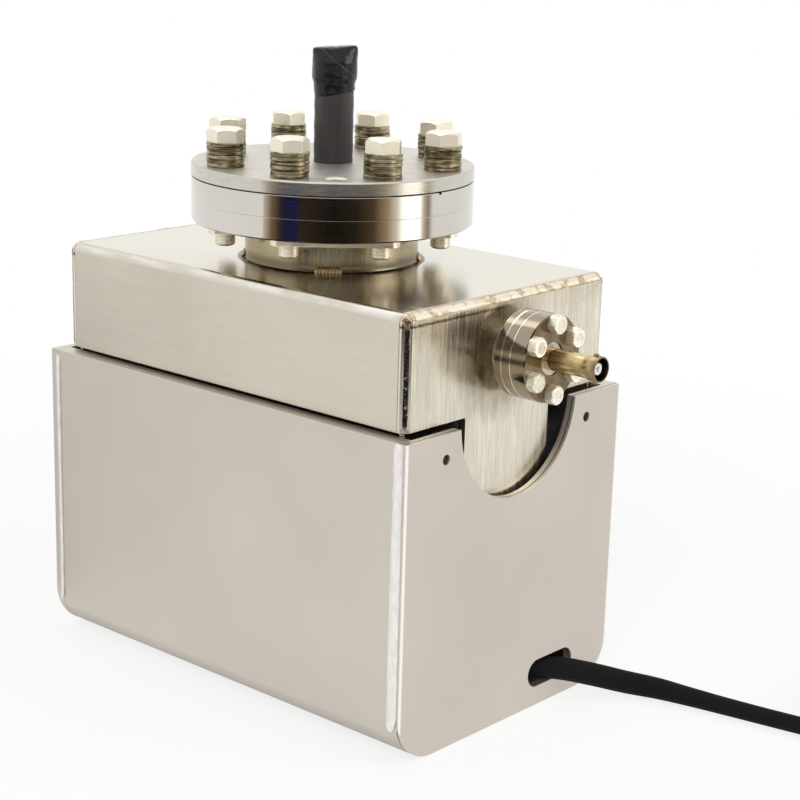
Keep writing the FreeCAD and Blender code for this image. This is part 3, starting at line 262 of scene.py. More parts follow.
def soften(piece, width, segments=2, angle=35):
    """Breaks the sharp edges of a piece."""
    return finished_modifier(piece, "BEVEL", width=width, segments=segments, limit_method="ANGLE",
                             angle_limit=math.radians(angle), use_clamp_overlap=True)


def even(piece):
    """Large flat faces keep their own shading next to broken edges."""
    return finished_modifier(piece, "WEIGHTED_NORMAL", keep_sharp=True, weight=60)


def turned(name, outline, sides, closed=False):
    """A turned form: a circle is extruded and resized along (radius, level) points in millimetres."""
    deselect()
    radius, level = outline[0]
    bpy.ops.mesh.primitive_circle_add(vertices=sides, radius=radius * MM, fill_type="NOTHING",
                                      location=(0, 0, level * MM))
    piece = called(name)
    bpy.ops.object.mode_set(mode="EDIT")
    bpy.ops.mesh.select_mode(type="EDGE")
    bpy.ops.mesh.select_all(action="SELECT")
    if not closed:
        bpy.ops.mesh.edge_face_add()
    for wider, higher in outline[1:] + (outline[:1] if closed else []):
        bpy.ops.mesh.extrude_edges_move(
            TRANSFORM_OT_translate={"value": (0, 0, (higher - level) * MM)})
        bpy.ops.transform.resize(value=(wider / radius, wider / radius, 1),
                                 center_override=(0, 0, higher * MM))
        radius, level = wider, higher
    if not closed:
        bpy.ops.mesh.edge_face_add()
    leave_edit()
    settle(piece)
    return smooth(outwards(piece))


def forward(piece, level):
    """Turns a form made along the upright axis to point forward, at a level."""
    take(piece)
    piece.rotation_euler = (math.radians(90), 0, 0)
    piece.location = (0, 0, level * MM)
    return settle(piece)


def joined(pieces, name):
    """One piece from several."""
    take(pieces[0])
    for piece in pieces[1:]:
        piece.select_set(True)
    if len(pieces) > 1:
        bpy.ops.object.join()
    return called(name)


def copies(piece, places, name):
    """One piece of copies of a form, each with its own mesh and its own place."""
    made = []
    for place in places:
        take(piece)
        bpy.ops.object.duplicate()
        copy = bpy.context.object
        copy.data.transform(place)
        made.append(copy)
    take(piece)
    bpy.ops.object.delete()
    return joined(made, name)


def around(radius, count, start, turn=None):
    """Places round the upright axis; turn gives each copy a turn about its own axis."""
    places = []
    for number in range(count):
        angle = math.radians(start + number * 360 / count)
        step = Vector((radius * math.cos(angle), radius * math.sin(angle), 0)) * MM
        own = Matrix.Rotation(turn(number) if turn else angle, 4, "Z")
        places.append(Matrix.Translation(step) @ own)
    return places


def carve(piece, cutter, way="DIFFERENCE"):
    """Cuts a form out of a piece, or keeps what both share, and removes the cutter."""
    finished_modifier(piece, "BOOLEAN", object=cutter, operation=way, solver="EXACT")
    take(cutter)
    bpy.ops.object.delete()
    return piece


def rod(name, radius, low, high, sides):
    """A plain rod along the upright axis."""
    deselect()
    bpy.ops.mesh.primitive_cylinder_add(vertices=sides, radius=radius * MM,
                                        depth=(high - low) * MM,
                                        location=(0, 0, (low + high) / 2 * MM))
    return settle(called(name))


def drill(piece, radius, low, high, places, sides):
    """Cuts a round hole at each place, between two levels."""
    return carve(piece, copies(rod("hole", radius, low, high, sides), places, "holes"))


def block(name, low, high):
    """A plain block between two corners in millimetres, shaped or used as a cutter."""
    deselect()
    middle = [(a + b) / 2 * MM for a, b in zip(low, high)]
    bpy.ops.mesh.primitive_cube_add(size=1, location=middle)
    piece = called(name)
    piece.scale = [(b - a) * MM for a, b in zip(low, high)]
    return settle(piece)


def fit(piece, finish, slot, *nodes):
    """Gives a finished piece its material and its body and hides the nodes that it stands for; the slot is
    not used.
    """
    settle(piece)
    piece.data.materials.clear()
    piece.data.materials.append(material(finish))
    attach(piece, "root")
    if nodes:
        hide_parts(*nodes)
    return piece


def dress(name, node, finish, slot, edge=0.0):
    """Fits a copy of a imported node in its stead, with merged faces and broken edges."""
    take(frame["nodes"][node])
    bpy.ops.object.duplicate()
    piece = called(name)
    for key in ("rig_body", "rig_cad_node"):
        if key in piece:
            del piece[key]
    piece.parent = None
    bpy.ops.mesh.customdata_custom_splitnormals_clear()
    pick(piece, lambda part: True, "VERT")
    bpy.ops.mesh.remove_doubles(threshold=2e-6)
    bpy.ops.mesh.dissolve_limited(angle_limit=math.radians(0.5))
    leave_edit()
    if edge:
        soften(piece, edge)
    return fit(even(smooth(piece)), finish, slot, node)


def coat(finish, *nodes):
    """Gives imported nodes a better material."""
    for node in nodes:
        mesh = frame["nodes"][node].data
        mesh.materials.clear()
        mesh.materials.append(material(finish))


def opaque(colour):
    """A plain colour with its alpha; the output of a node stays as it is."""
    return (*colour, 1) if isinstance(colour, tuple) else colour


class Nodes:
    """The nodes of a material or of the world, added one call at a time."""

    def __init__(self, tree):
        self.tree = tree

    def add(self, kind, inputs, output=0, **values):
        """One node; an input is a plain value or another node's output."""
        node = self.tree.nodes.new(kind)
        for key, value in values.items():
            setattr(node, key, value)
        for key, value in inputs.items():
            self.feed(node.inputs[key], value)
        return node.outputs[output]

    def feed(self, socket, value):
        """Gives an input a plain value or another node's output."""
        if isinstance(value, bpy.types.NodeSocket):
            self.tree.links.new(value, socket)
        else:
            socket.default_value = value

    def place(self, scale=(1, 1, 1), turn=(0, 0, 0), shift=(0, 0, 0)):
        """Object coordinates, stretched, turned and shifted."""
        start = self.add("ShaderNodeTexCoord", {}, "Object")
        return self.add("ShaderNodeMapping", {"Vector": start, "Scale": scale, "Rotation": turn,
                                              "Location": shift})

    def noise(self, size, detail=2.0, roughness=0.5, drawn=(1, 1, 1)):
        """Noise with features of about size millimetres, drawn out where drawn is below 1."""
        return self.add("ShaderNodeTexNoise", {"Vector": self.place(drawn),
                                               "Scale": 1 / (size * MM), "Detail": detail,
                                               "Roughness": roughness})

    def ramp(self, value, stops):
        """Colours or grey levels along a value; stops are (position, colour)."""
        node = self.tree.nodes.new("ShaderNodeValToRGB")
        self.feed(node.inputs["Fac"], value)
        while len(node.color_ramp.elements) < len(stops):
            node.color_ramp.elements.new(0.5)
        for element, (position, colour) in zip(node.color_ramp.elements, stops):
            element.position = position
            element.color = opaque(colour if isinstance(colour, tuple) else (colour,) * 3)
        return node.outputs["Color"]

    def span(self, value, low, high, to_low=0.0, to_high=1.0):
        """A value carried from one range to another, and kept in it."""
        return self.add("ShaderNodeMapRange", {"Value": value, "From Min": low, "From Max": high,
                                               "To Min": to_low, "To Max": to_high})

    def between(self, noise, low, high):
        """Noise carried to values between low and high."""
        return self.span(noise, 0.3, 0.7, low, high)

    def mix(self, share, first, second):
        """Two colours mixed."""
        return self.add("ShaderNodeMix", {0: share, 6: opaque(first), 7: opaque(second)}, 2,
                        data_type="RGBA")

    def lit(self, colour, level):
        """A colour times a level."""
        return self.add("ShaderNodeVectorMath", {0: colour, 3: level}, operation="SCALE")

    def work(self, way, first, second=0.0):
        """A plain working of one or two values."""
        return self.add("ShaderNodeMath", {0: first, 1: second}, operation=way)

    def times(self, first, second):
        """A product."""
        return self.work("MULTIPLY", first, second)

    def plus(self, first, second):
        """A sum."""
        return self.work("ADD", first, second)

    def size(self, value):
        """A value without its sign."""
        return self.work("ABSOLUTE", value)

    def off(self, value, middle):
        """How far a value in metres is from a middle one in millimetres."""
        return self.size(self.work("SUBTRACT", value, middle * MM))

    def below(self, value, limit):
        """1 where a value in metres is below a limit in millimetres, or else 0."""
        return self.work("LESS_THAN", value, limit * MM)

    def part(self, vector, axis):
        """One coordinate of a vector."""
        return self.add("ShaderNodeSeparateXYZ", {"Vector": vector}, axis)

    def along(self, axis, kind="Object"):
        """The place along one axis of the object or of its own map."""
        return self.part(self.add("ShaderNodeTexCoord", {}, kind), axis)

    def reach(self, axis, start, end, at_start=0.0, at_end=1.0):
        """A value that changes between two places on an axis, in millimetres."""
        return self.span(self.along(axis), start * MM, end * MM, at_start, at_end)

    def away(self, middle=(0, 0, 0), keep=(1, 1, 1)):
        """Distance from a place in millimetres, without the axes where keep is 0."""
        shift = [-part * kept * MM for part, kept in zip(middle, keep)]
        return self.add("ShaderNodeVectorMath", {0: self.place(keep, shift=shift)}, "Value",
                        operation="LENGTH")

    def relief(self, height, depth):
        """Fine relief, depth in millimetres."""
        return self.add("ShaderNodeBump", {"Height": height, "Distance": depth * MM,
                                           "Strength": 1.0})

    def plain_white(self):
        """Is the ray one from the camera, a gloss or a glass: it then sees plain white."""
        path = self.tree.nodes.new("ShaderNodeLightPath").outputs
        seen = self.work("MAXIMUM", path["Is Camera Ray"], path["Is Glossy Ray"])
        return self.work("MAXIMUM", seen, path["Is Transmission Ray"])


class Finish(Nodes):
    """A new material and its surface."""

    def __init__(self, name):
        self.material = bpy.data.materials.new(name)
        self.material.use_nodes = True
        super().__init__(self.material.node_tree)
        self.shader = self.tree.nodes["Principled BSDF"]

    def set(self, **inputs):
        """Inputs of the surface, with _ for a space."""
        for key, value in inputs.items():
            self.feed(self.shader.inputs[key.replace("_", " ")], value)

    def surface(self, colour, noise, low, high, depth, metallic=1.0, waves=None, specular=0.5):
        """Colour, roughness from low to high over a noise, and relief of the noise or of waves."""
        self.set(Base_Color=colour, Metallic=metallic, Roughness=self.between(noise, low, high),
                 Normal=self.relief(noise if waves is None else waves, depth),
                 Specular_IOR_Level=specular)

    def show(self, shader):
        """Shows another shader in place of the plain surface."""
        self.feed(self.tree.nodes["Material Output"].inputs["Surface"], shader)


def grained(finish, colour, grain, size, roughness, contrast, depth, metallic=1.0, cloud=40.0,
            spread=0.06):
    """Metal with a fine grain, soft clouds and uneven gloss; returns its colour and roughness."""
    lines = finish.noise(size, 3.0, 0.6, grain)
    level = finish.times(finish.between(lines, 1 - contrast, 1 + contrast),
                         finish.between(finish.noise(cloud), 0.97, 1.03))
    tint = finish.lit(colour, level)
    gloss = finish.span(lines, 0.25, 0.75, roughness - spread, roughness + spread)
    finish.set(Base_Color=tint, Metallic=metallic, Roughness=gloss,
               Normal=finish.relief(lines, depth))
    return tint, gloss


def plain_metal(finish, colour, roughness, grain=(1, 1, 1), size=0.8, contrast=0.06):
    """Plain metal with its own grain."""
    grained(finish, colour, grain, size, roughness, contrast, 0.006)


def housing_nickel(finish):
    """Satin nickel on steel: even, slightly pink; painted shade at the front seam and foot, painted
    highlight at the front corners.
    """
    coated = grained(finish, chosen_tone("housing", "coat"), (1, 1, 1), 0.5, 0.42, 0.02, 0.004,
                     0.92, 60.0, 0.03)[0]
    low, high = corners("housing_front_cover")
    side = finish.size(finish.along("X"))
    # Painted shade: a near-black line in the seam where the front sheet meets the plate behind it.
    joint = finish.span(finish.off(finish.along("Y"), high.y), 0.2 * MM, 0.35 * MM, 0.9, 0.0)
    inside = finish.below(side, high.x - 0.5)
    # Painted highlight: the front corners are made paler, as if lit.
    at_side = finish.span(side, (high.x - 1.0) * MM, (high.x - 0.5) * MM)
    at_front = finish.reach("Y", low.y + 0.5, low.y + 1.0, 1.0, 0.0)
    painted_corner_highlight = finish.mix(finish.times(at_side, at_front), coated, (0.97, 0.94, 0.89))
    # Painted shade: away from the front face the housing darkens towards the bottom, as if shaded near the
    # floor.
    under = finish.ramp(finish.reach("Z", 0, 12),
                        [(0.0, 1.0), (0.12, 0.96), (0.25, 0.74), (0.5, 0.36), (1.0, 0.0)])
    behind = finish.reach("Y", low.y + 1.0, low.y + 3.0)
    foot = finish.mix(finish.times(under, behind), painted_corner_highlight, (0.13, 0.11, 0.09))
    # The painted seam shade is laid last, away from the sides.
    finish.set(Base_Color=finish.mix(finish.times(joint, inside), foot, (0.06, 0.05, 0.04)))


def chamber_brushed(finish):
    """Brushed steel with its grain along the chamber, glossier on the top, dull on its bends, with straw
    patches and a painted highlight on the bends.
    """
    bare, gloss = grained(finish, chosen_tone("chamber", "steel"), (1, 0.02, 1), 0.5, 0.28, 0.05,
                          0.005)
    top = corners("chamber_shell")[1].z
    bend = finish.times(finish.reach("Z", top - 3.5, top - 1.5),
                        finish.reach("Z", top - 0.1, top - 0.9))
    patches = finish.noise(5.0, 3.0, 0.6, (1, 0.3, 1))
    straw = finish.times(bend, finish.span(patches, 0.42, 0.62, 0.0, 0.35))
    # Painted highlight: the top bends are made paler, as if lit from above.
    pale = finish.mix(finish.times(bend, 0.7), bare, (0.95, 0.92, 0.87))
    dull = finish.plus(finish.reach("Z", top - 1.5, top - 0.2, 0.0, -0.10),
                       finish.times(bend, 0.14))
    finish.set(Roughness=finish.plus(gloss, dull),
               Base_Color=finish.mix(straw, pale, (0.40, 0.30, 0.17)))


def upright_brushed(finish, colour, shade_low, shade_high, gloss_low, gloss_high, depth):
    """Steel brushed up and down; returns its colour."""
    lines = finish.noise(0.9, 4.0, 0.65, (1, 1, 0.05))
    broad = finish.noise(9.0, drawn=(1, 1, 0.25))
    tint = finish.lit(colour, finish.times(finish.between(lines, shade_low, shade_high),
                                           finish.between(broad, 0.94, 1.06)))
    finish.set(Base_Color=tint, Metallic=1.0,
               Roughness=finish.span(lines, 0.25, 0.75, gloss_low, gloss_high),
               Normal=finish.relief(lines, depth))
    return tint


def chamber_front_brushed(finish):
    """Coarse upright brushing of the chamber's ends, straw coloured below the top weld, with a painted
    reflection of the feedthrough beside it.
    """
    tint = upright_brushed(finish, chosen_tone("chamber", "steel"), 0.94, 1.38, 0.14, 0.34, 0.03)
    top = corners("chamber_shell")[1].z
    low, high = corners("feedthrough_flange")
    ragged = finish.noise(3.0, 3.0, 0.6, (1, 1, 0.3))
    level = finish.plus(finish.along("Z"), finish.between(ragged, -2 * MM, 2 * MM))
    heat = finish.span(level, (top - 11.5) * MM, (top - 1) * MM, 0.0, 0.35)
    warm = finish.mix(heat, tint, (0.50, 0.37, 0.20))
    burr = finish.noise(0.8, 3.0, 0.7)
    line = finish.plus(finish.along("Z"), finish.between(burr, -0.4 * MM, 0.4 * MM))
    near = finish.span(finish.off(line, top - 4.7), 0.2 * MM, 0.8 * MM, 0.85, 0.0)
    left = finish.reach("X", -8, 4, 1.0, 0.0)
    burnt = finish.mix(finish.times(near, left), warm, (0.06, 0.035, 0.02))
    # Painted reflection: a dark brown patch left of the feedthrough stands in for its mirror image.
    port = finish.away((-6, 0, (low.z + high.z) / 2), (1, 0, 1))
    painted_port_reflection = finish.plus(port, finish.between(ragged, -3 * MM, 3 * MM))
    finish.set(Base_Color=finish.mix(finish.span(painted_port_reflection, 17 * MM, 28 * MM, 0.55, 0.0), burnt,
                                     (0.20, 0.145, 0.075)))


def nipple_brushed(finish):
    """Upright brushing of the inlet tube, darkened as painted shade from the flange; darker straw near its
    weld, heat tint deepened into painted shade.
    """
    steel = chosen_tone("chamber", "steel")
    # Painted shade: the tube's steel is darkened, as if shaded by the flange above it.
    darker = tuple(part * share for part, share in zip(steel, (0.72, 0.66, 0.53)))
    tint = upright_brushed(finish, darker, 0.9, 1.1, 0.2, 0.32, 0.004)
    weld = corners("inlet_tube_weld")[1].z
    # Heat tint at the weld, darkened further as painted shade over the fillet.
    heat = finish.reach("Z", weld - 1, weld + 2, 0.85, 0.0)
    finish.set(Base_Color=finish.mix(heat, tint, (0.14, 0.115, 0.075)))


def flange_polished(finish):
    """Turned and polished steel, nearly a mirror, with a duller underside painted dark brown as shade."""
    steel = chosen_tone("inlet", "steel")
    rings = finish.noise(0.35, drawn=(0.02, 0.02, 1))
    smear = finish.noise(25.0)
    tint = finish.mix(finish.span(smear, 0.35, 0.7, 0.0, 0.5), steel, dimmed(steel, 0.86))
    gloss = finish.plus(finish.between(rings, 0.05, 0.08),
                        finish.span(smear, 0.4, 0.7, 0.0, 0.03))
    base = corners("inlet_flange")[0].z
    # Painted shade: the underside is made dark brown, as if in shadow, which also darkens what mirrors it.
    under = finish.reach("Z", base + 0.05, base + 0.15, 1.0, 0.0)
    finish.set(Base_Color=finish.mix(under, tint, (0.13, 0.11, 0.085)), Metallic=1.0,
               Roughness=finish.plus(gloss, finish.times(under, 0.2)),
               Normal=finish.relief(rings, 0.0002))


def flange_tinted(finish):
    """Polished small flanges with the brown tint of a bake on their open face, and painted highlight lines
    on their rims.
    """
    base_low, base_high = corners("feedthrough_base_flange")
    face_low, face_high = corners("feedthrough_flange")
    smear = finish.noise(7.0)
    brown = finish.mix(finish.span(smear, 0.35, 0.65), (0.168, 0.120, 0.074), (0.238, 0.18, 0.12))
    on_face = finish.reach("Y", face_low.y + 0.2, face_low.y + 0.5, 1.0, 0.0)
    tint = finish.mix(on_face, chosen_tone("feedthrough", "flange"), brown)
    # Painted highlights: pale lines at the back of the base flange, its middle groove and the joint of the
    # two flanges.
    for place in (base_high.y - 0.2, (base_low.y + base_high.y) / 2, face_high.y - 0.2):
        ring = finish.span(finish.off(finish.along("Y"), place), 0.3 * MM, 0.4 * MM, 1.0, 0.0)
        tint = finish.mix(ring, tint, (0.82, 0.79, 0.73))
    finish.surface(tint, finish.noise(0.3, drawn=(1, 0.02, 1)), 0.11, 0.17, 0.005, waves=smear)


def cover_turned(finish):
    """Brushed shipping cover with scratches that run round its rim, and a painted bright highlight in its
    jacking hole.
    """
    bare, gloss = grained(finish, chosen_tone("inlet", "cover"), (0.05, 0.05, 1), 0.3, 0.19, 0.09,
                          0.0005, 1.0, 15.0, 0.03)
    top = corners("shipping_cover")[1].z
    hole = -COVER_BOLTS[0] * math.sqrt(0.5)
    # Painted highlight: the jacking hole's countersink and wall are made bright gold, as if lit.
    wall = finish.times(finish.below(finish.away((hole, hole, 0), (1, 1, 0)), 4.5),
                        finish.below(finish.along("Z"), top - 0.3))
    duller = finish.reach("Z", top - 0.5, top - 0.1, 0.0, 0.26)
    finish.set(Roughness=finish.plus(gloss, duller),
               Base_Color=finish.mix(wall, bare, (0.92, 0.80, 0.58)))


def bolt_plated(finish):
    """Warm silver plating with small dull spots, golden at the tips below the flange."""
    plating = chosen_tone("inlet", "bolt")
    flange = corners("inlet_flange")[0].z
    spots = finish.noise(1.4, 1.0)
    tint = finish.mix(finish.span(spots, 0.5, 0.75, 0.0, 0.3), plating, dimmed(plating, 0.88))
    tips = finish.times(finish.reach("Z", flange - 1, flange + 1, 1.0, 0.0),
                        finish.reach("Y", -95, -90))
    finish.surface(finish.mix(tips, tint, (0.84, 0.76, 0.60)), spots, 0.34, 0.42, 0.0005, 0.8)


def washer_chromate(finish):
    """Olive and bronze chromate, each washer a little different."""
    chromate = chosen_tone("inlet", "washer")
    layers = finish.noise(1.1, 1.0, drawn=(0.15, 0.15, 1))
    spots = finish.noise(1.5, 3.0, 0.6)
    mottled = finish.ramp(layers, [(0.34, dimmed(chromate, 0.3)), (0.5, chromate),
                                   (0.66, (0.56, 0.48, 0.33))])
    tint = finish.mix(finish.span(spots, 0.4, 0.65, 0.0, 0.5), mottled, (0.12, 0.10, 0.06))
    finish.surface(tint, spots, 0.22, 0.45, 0.03)


def weld_bright(finish, lift, gloss):
    """A bright weld with straw patches; lift makes it paler, as where it is ground."""
    stops = ((0.3, (0.56, 0.52, 0.44)), (0.5, (0.60, 0.54, 0.43)), (0.62, (0.38, 0.29, 0.18)),
             (0.75, (0.46, 0.43, 0.38)))
    stops = [(place, dimmed(colour, lift)) for place, colour in stops]
    finish.surface(finish.ramp(finish.noise(4.0), stops), finish.noise(0.6), gloss, gloss + 0.16, 0.01)


def weld_dark(finish):
    """A weld painted near-black as a dark reflection, brown near its top, with a painted highlight making
    its foot pale.
    """
    low, high = corners("chamber_shell")
    patches = finish.noise(1.2)
    # Painted reflection: near-black stands in for the dark surroundings that the shiny weld mirrors.
    tint = finish.ramp(patches, [(0.45, (0.018, 0.016, 0.015)), (0.62, (0.07, 0.06, 0.05)),
                                 (0.7, (0.45, 0.42, 0.37))])
    upper = finish.mix(finish.reach("Z", high.z - 6, high.z - 4.5), tint, (0.30, 0.235, 0.16))
    # Painted highlight: the weld's foot is made pale.
    lower = finish.mix(finish.reach("Z", low.z + 1, low.z + 3, 1.0, 0.0), upper, (0.6, 0.57, 0.5))
    finish.surface(lower, patches, 0.12, 0.22, 0.01)


def weld_nickel(finish):
    """A weld bead under the nickel of the housing."""
    patches = finish.noise(2.0, 3.0, 0.6, (1, 1, 0.4))
    tint = finish.ramp(patches, [(0.3, (0.78, 0.75, 0.71)), (0.7, (0.92, 0.90, 0.87))])
    finish.surface(tint, patches, 0.34, 0.48, 0.05, 0.9)


def sleeve_shrink(finish):
    """Dark shrink sleeve with a soft sheen and faint drag marks, warmer towards the tape."""
    foot, tape = corners("pump_out_sleeve")[0].z, corners("pump_out_cap")[0].z
    marks = finish.noise(1.4, 3.0, 0.6, (1, 1, 0.15))
    streaks = finish.noise(5.0, drawn=(1, 1, 0.1))
    warm = finish.times(finish.reach("Z", foot + 4.8, tape - 1.7),
                        finish.span(streaks, 0.4, 0.6))
    worn = finish.mix(warm, chosen_tone("pump_out", "sleeve"), (0.058, 0.036, 0.036))
    tint = finish.mix(finish.span(marks, 0.35, 0.7, 0.0, 0.3), worn, (0.04, 0.032, 0.032))
    finish.surface(tint, marks, 0.36, 0.48, 0.01, 0.0, specular=0.4)


def tape_glossy(finish):
    """Glossy black tape, wound and pressed on."""
    grain = finish.noise(0.5)
    tint = finish.mix(finish.span(grain, 0.4, 0.7, 0.0, 0.4), chosen_tone("pump_out", "tape"),
                      (0.02, 0.02, 0.021))
    slack = finish.noise(5.0, drawn=(1, 1, 2))
    finish.surface(tint, grain, 0.14, 0.24, 0.15, 0.0, slack, 0.3)


def brass_turned(finish):
    """Turned brass, browned to its mouth, with painted shade making its bore dark."""
    bare, gloss = grained(finish, chosen_tone("feedthrough", "brass"), (1, 1, 1), 9.0, 0.23, 0.03,
                          0.0, 1.0, 9.0, 0.02)
    low, high = corners("connector_shell")
    mouth = low.y
    bore = finish.reach("Y", mouth + 4.6, mouth + 5.2, 4.3 * MM, 3.7 * MM)
    away = finish.away((0, 0, (low.z + high.z) / 2), (1, 0, 1))
    browned = finish.mix(finish.reach("Y", mouth + 0.6, mouth + 4.6, 1.0, 0.0), bare,
                         (0.26, 0.195, 0.11))
    flare = finish.reach("Y", mouth + 7.1, mouth + 9.6, 0.09, 0.0)
    # Painted shade: the hollow and bore are made nearly black, as if in shadow.
    inner = finish.work("LESS_THAN", away, bore)
    finish.set(Roughness=finish.plus(gloss, flare),
               Base_Color=finish.mix(inner, browned, (0.05, 0.038, 0.025)))


def ceramic_white(finish):
    """Fired ceramic with a faint speckle."""
    specks = finish.noise(0.5, 3.0, 0.6)
    tint = finish.mix(finish.span(specks, 0.55, 0.75, 0.0, 0.4),
                      chosen_tone("feedthrough", "ceramic"), (0.66, 0.64, 0.60))
    finish.surface(tint, specks, 0.3, 0.45, 0.01, 0.0)


def braid_black(finish):
    """Black braid: crossing strands drawn on the lead's own length and girth."""
    rows_along, strands_round = 1300, 26
    turns = finish.times(finish.along("X", "UV"), 2 * math.pi * rows_along)
    strands = finish.times(finish.along("Y", "UV"), 2 * math.pi * strands_round)
    weave = finish.work("MAXIMUM", finish.work("SINE", finish.plus(turns, strands)),
                        finish.work("SINE", finish.work("SUBTRACT", turns, strands)))
    fuzz = finish.noise(1.2, 3.0, 0.6)
    lift = finish.times(finish.span(weave, 0.0, 1.0), finish.between(fuzz, 0.3, 1.0))
    tint = finish.mix(lift, dimmed(chosen_tone("lead", "braid"), 0.5), (0.013, 0.0125, 0.012))
    finish.surface(tint, fuzz, 0.6, 0.8, 0.10, 0.0, weave, 0.12)


def moulded(finish, colour, roughness, size=0.6, depth=0.02, pale=1.8):
    """Moulded plastic or rubber with a fine skin."""
    broad = finish.noise(size * 20)
    paler = tuple(min(1.0, part) for part in dimmed(colour, pale))
    tint = finish.mix(finish.span(broad, 0.35, 0.7, 0.0, 0.5), colour, paler)
    finish.surface(tint, finish.noise(size, 3.0, 0.6), roughness - 0.08, roughness + 0.08, depth,
                   0.0)


# What makes each finish, and the values that it takes.
FINISHES = {maker.__name__: (maker,) for maker in (
    housing_nickel, chamber_brushed, chamber_front_brushed, nipple_brushed, flange_polished,
    flange_tinted, cover_turned, bolt_plated, washer_chromate, weld_dark, weld_nickel,
    sleeve_shrink, tape_glossy, brass_turned, ceramic_white, braid_black)}
FINISHES.update({
    "weld_bright": (weld_bright, 1.0, 0.2),
    "weld_ground": (weld_bright, 1.5, 0.3),
    "plug_rubber": (moulded, (0.022, 0.022, 0.023), 0.5),
    "tie_nylon": (moulded, (0.03, 0.03, 0.032), 0.38),
    "insulator_dark": (moulded, (0.03, 0.026, 0.02), 0.55),
    "magnet_ferrite": (moulded, (0.07, 0.07, 0.075), 0.6, 1.2, 0.05),
    "heater_mat": (moulded, (0.45, 0.15, 0.06), 0.5, 1.0, 0.05, 1.3),
    "terminal_steatite": (moulded, (0.74, 0.71, 0.64), 0.4, 0.8, 0.02, 1.1),
    "wire_sleeving": (moulded, (0.55, 0.52, 0.46), 0.6, 0.4, 0.03, 1.2),
    "copper_gasket": (plain_metal, (0.75, 0.40, 0.26), 0.3),
    "titanium_sheet": (plain_metal, (0.46, 0.45, 0.44), 0.38, (1, 0.04, 1)),
    "anode_sheet": (plain_metal, (0.60, 0.59, 0.57), 0.28, (1, 1, 0.05)),
    "support_steel": (plain_metal, (0.50, 0.49, 0.47), 0.4, (1, 0.05, 1)),
    "weld_straw": (plain_metal, (0.50, 0.38, 0.22), 0.3, (1, 1, 1), 2, 0.3),
    "nut_bar_steel": (plain_metal, (0.92, 0.81, 0.62), 0.3, (1, 1, 1), 9),
    "pin_grey": (plain_metal, (0.30, 0.29, 0.28), 0.4),
    "prong_nickel": (plain_metal, (0.72, 0.70, 0.66), 0.22, (0.1, 1, 1)),
})
made_finishes = {}


def material(name):
    """The finish of that name, made when it is first asked for."""
    if name not in made_finishes:
        finish = Finish(name)
        maker, *values = FINISHES[name]
        maker(finish, *values)
        made_finishes[name] = finish.material
    return made_finishes[name]


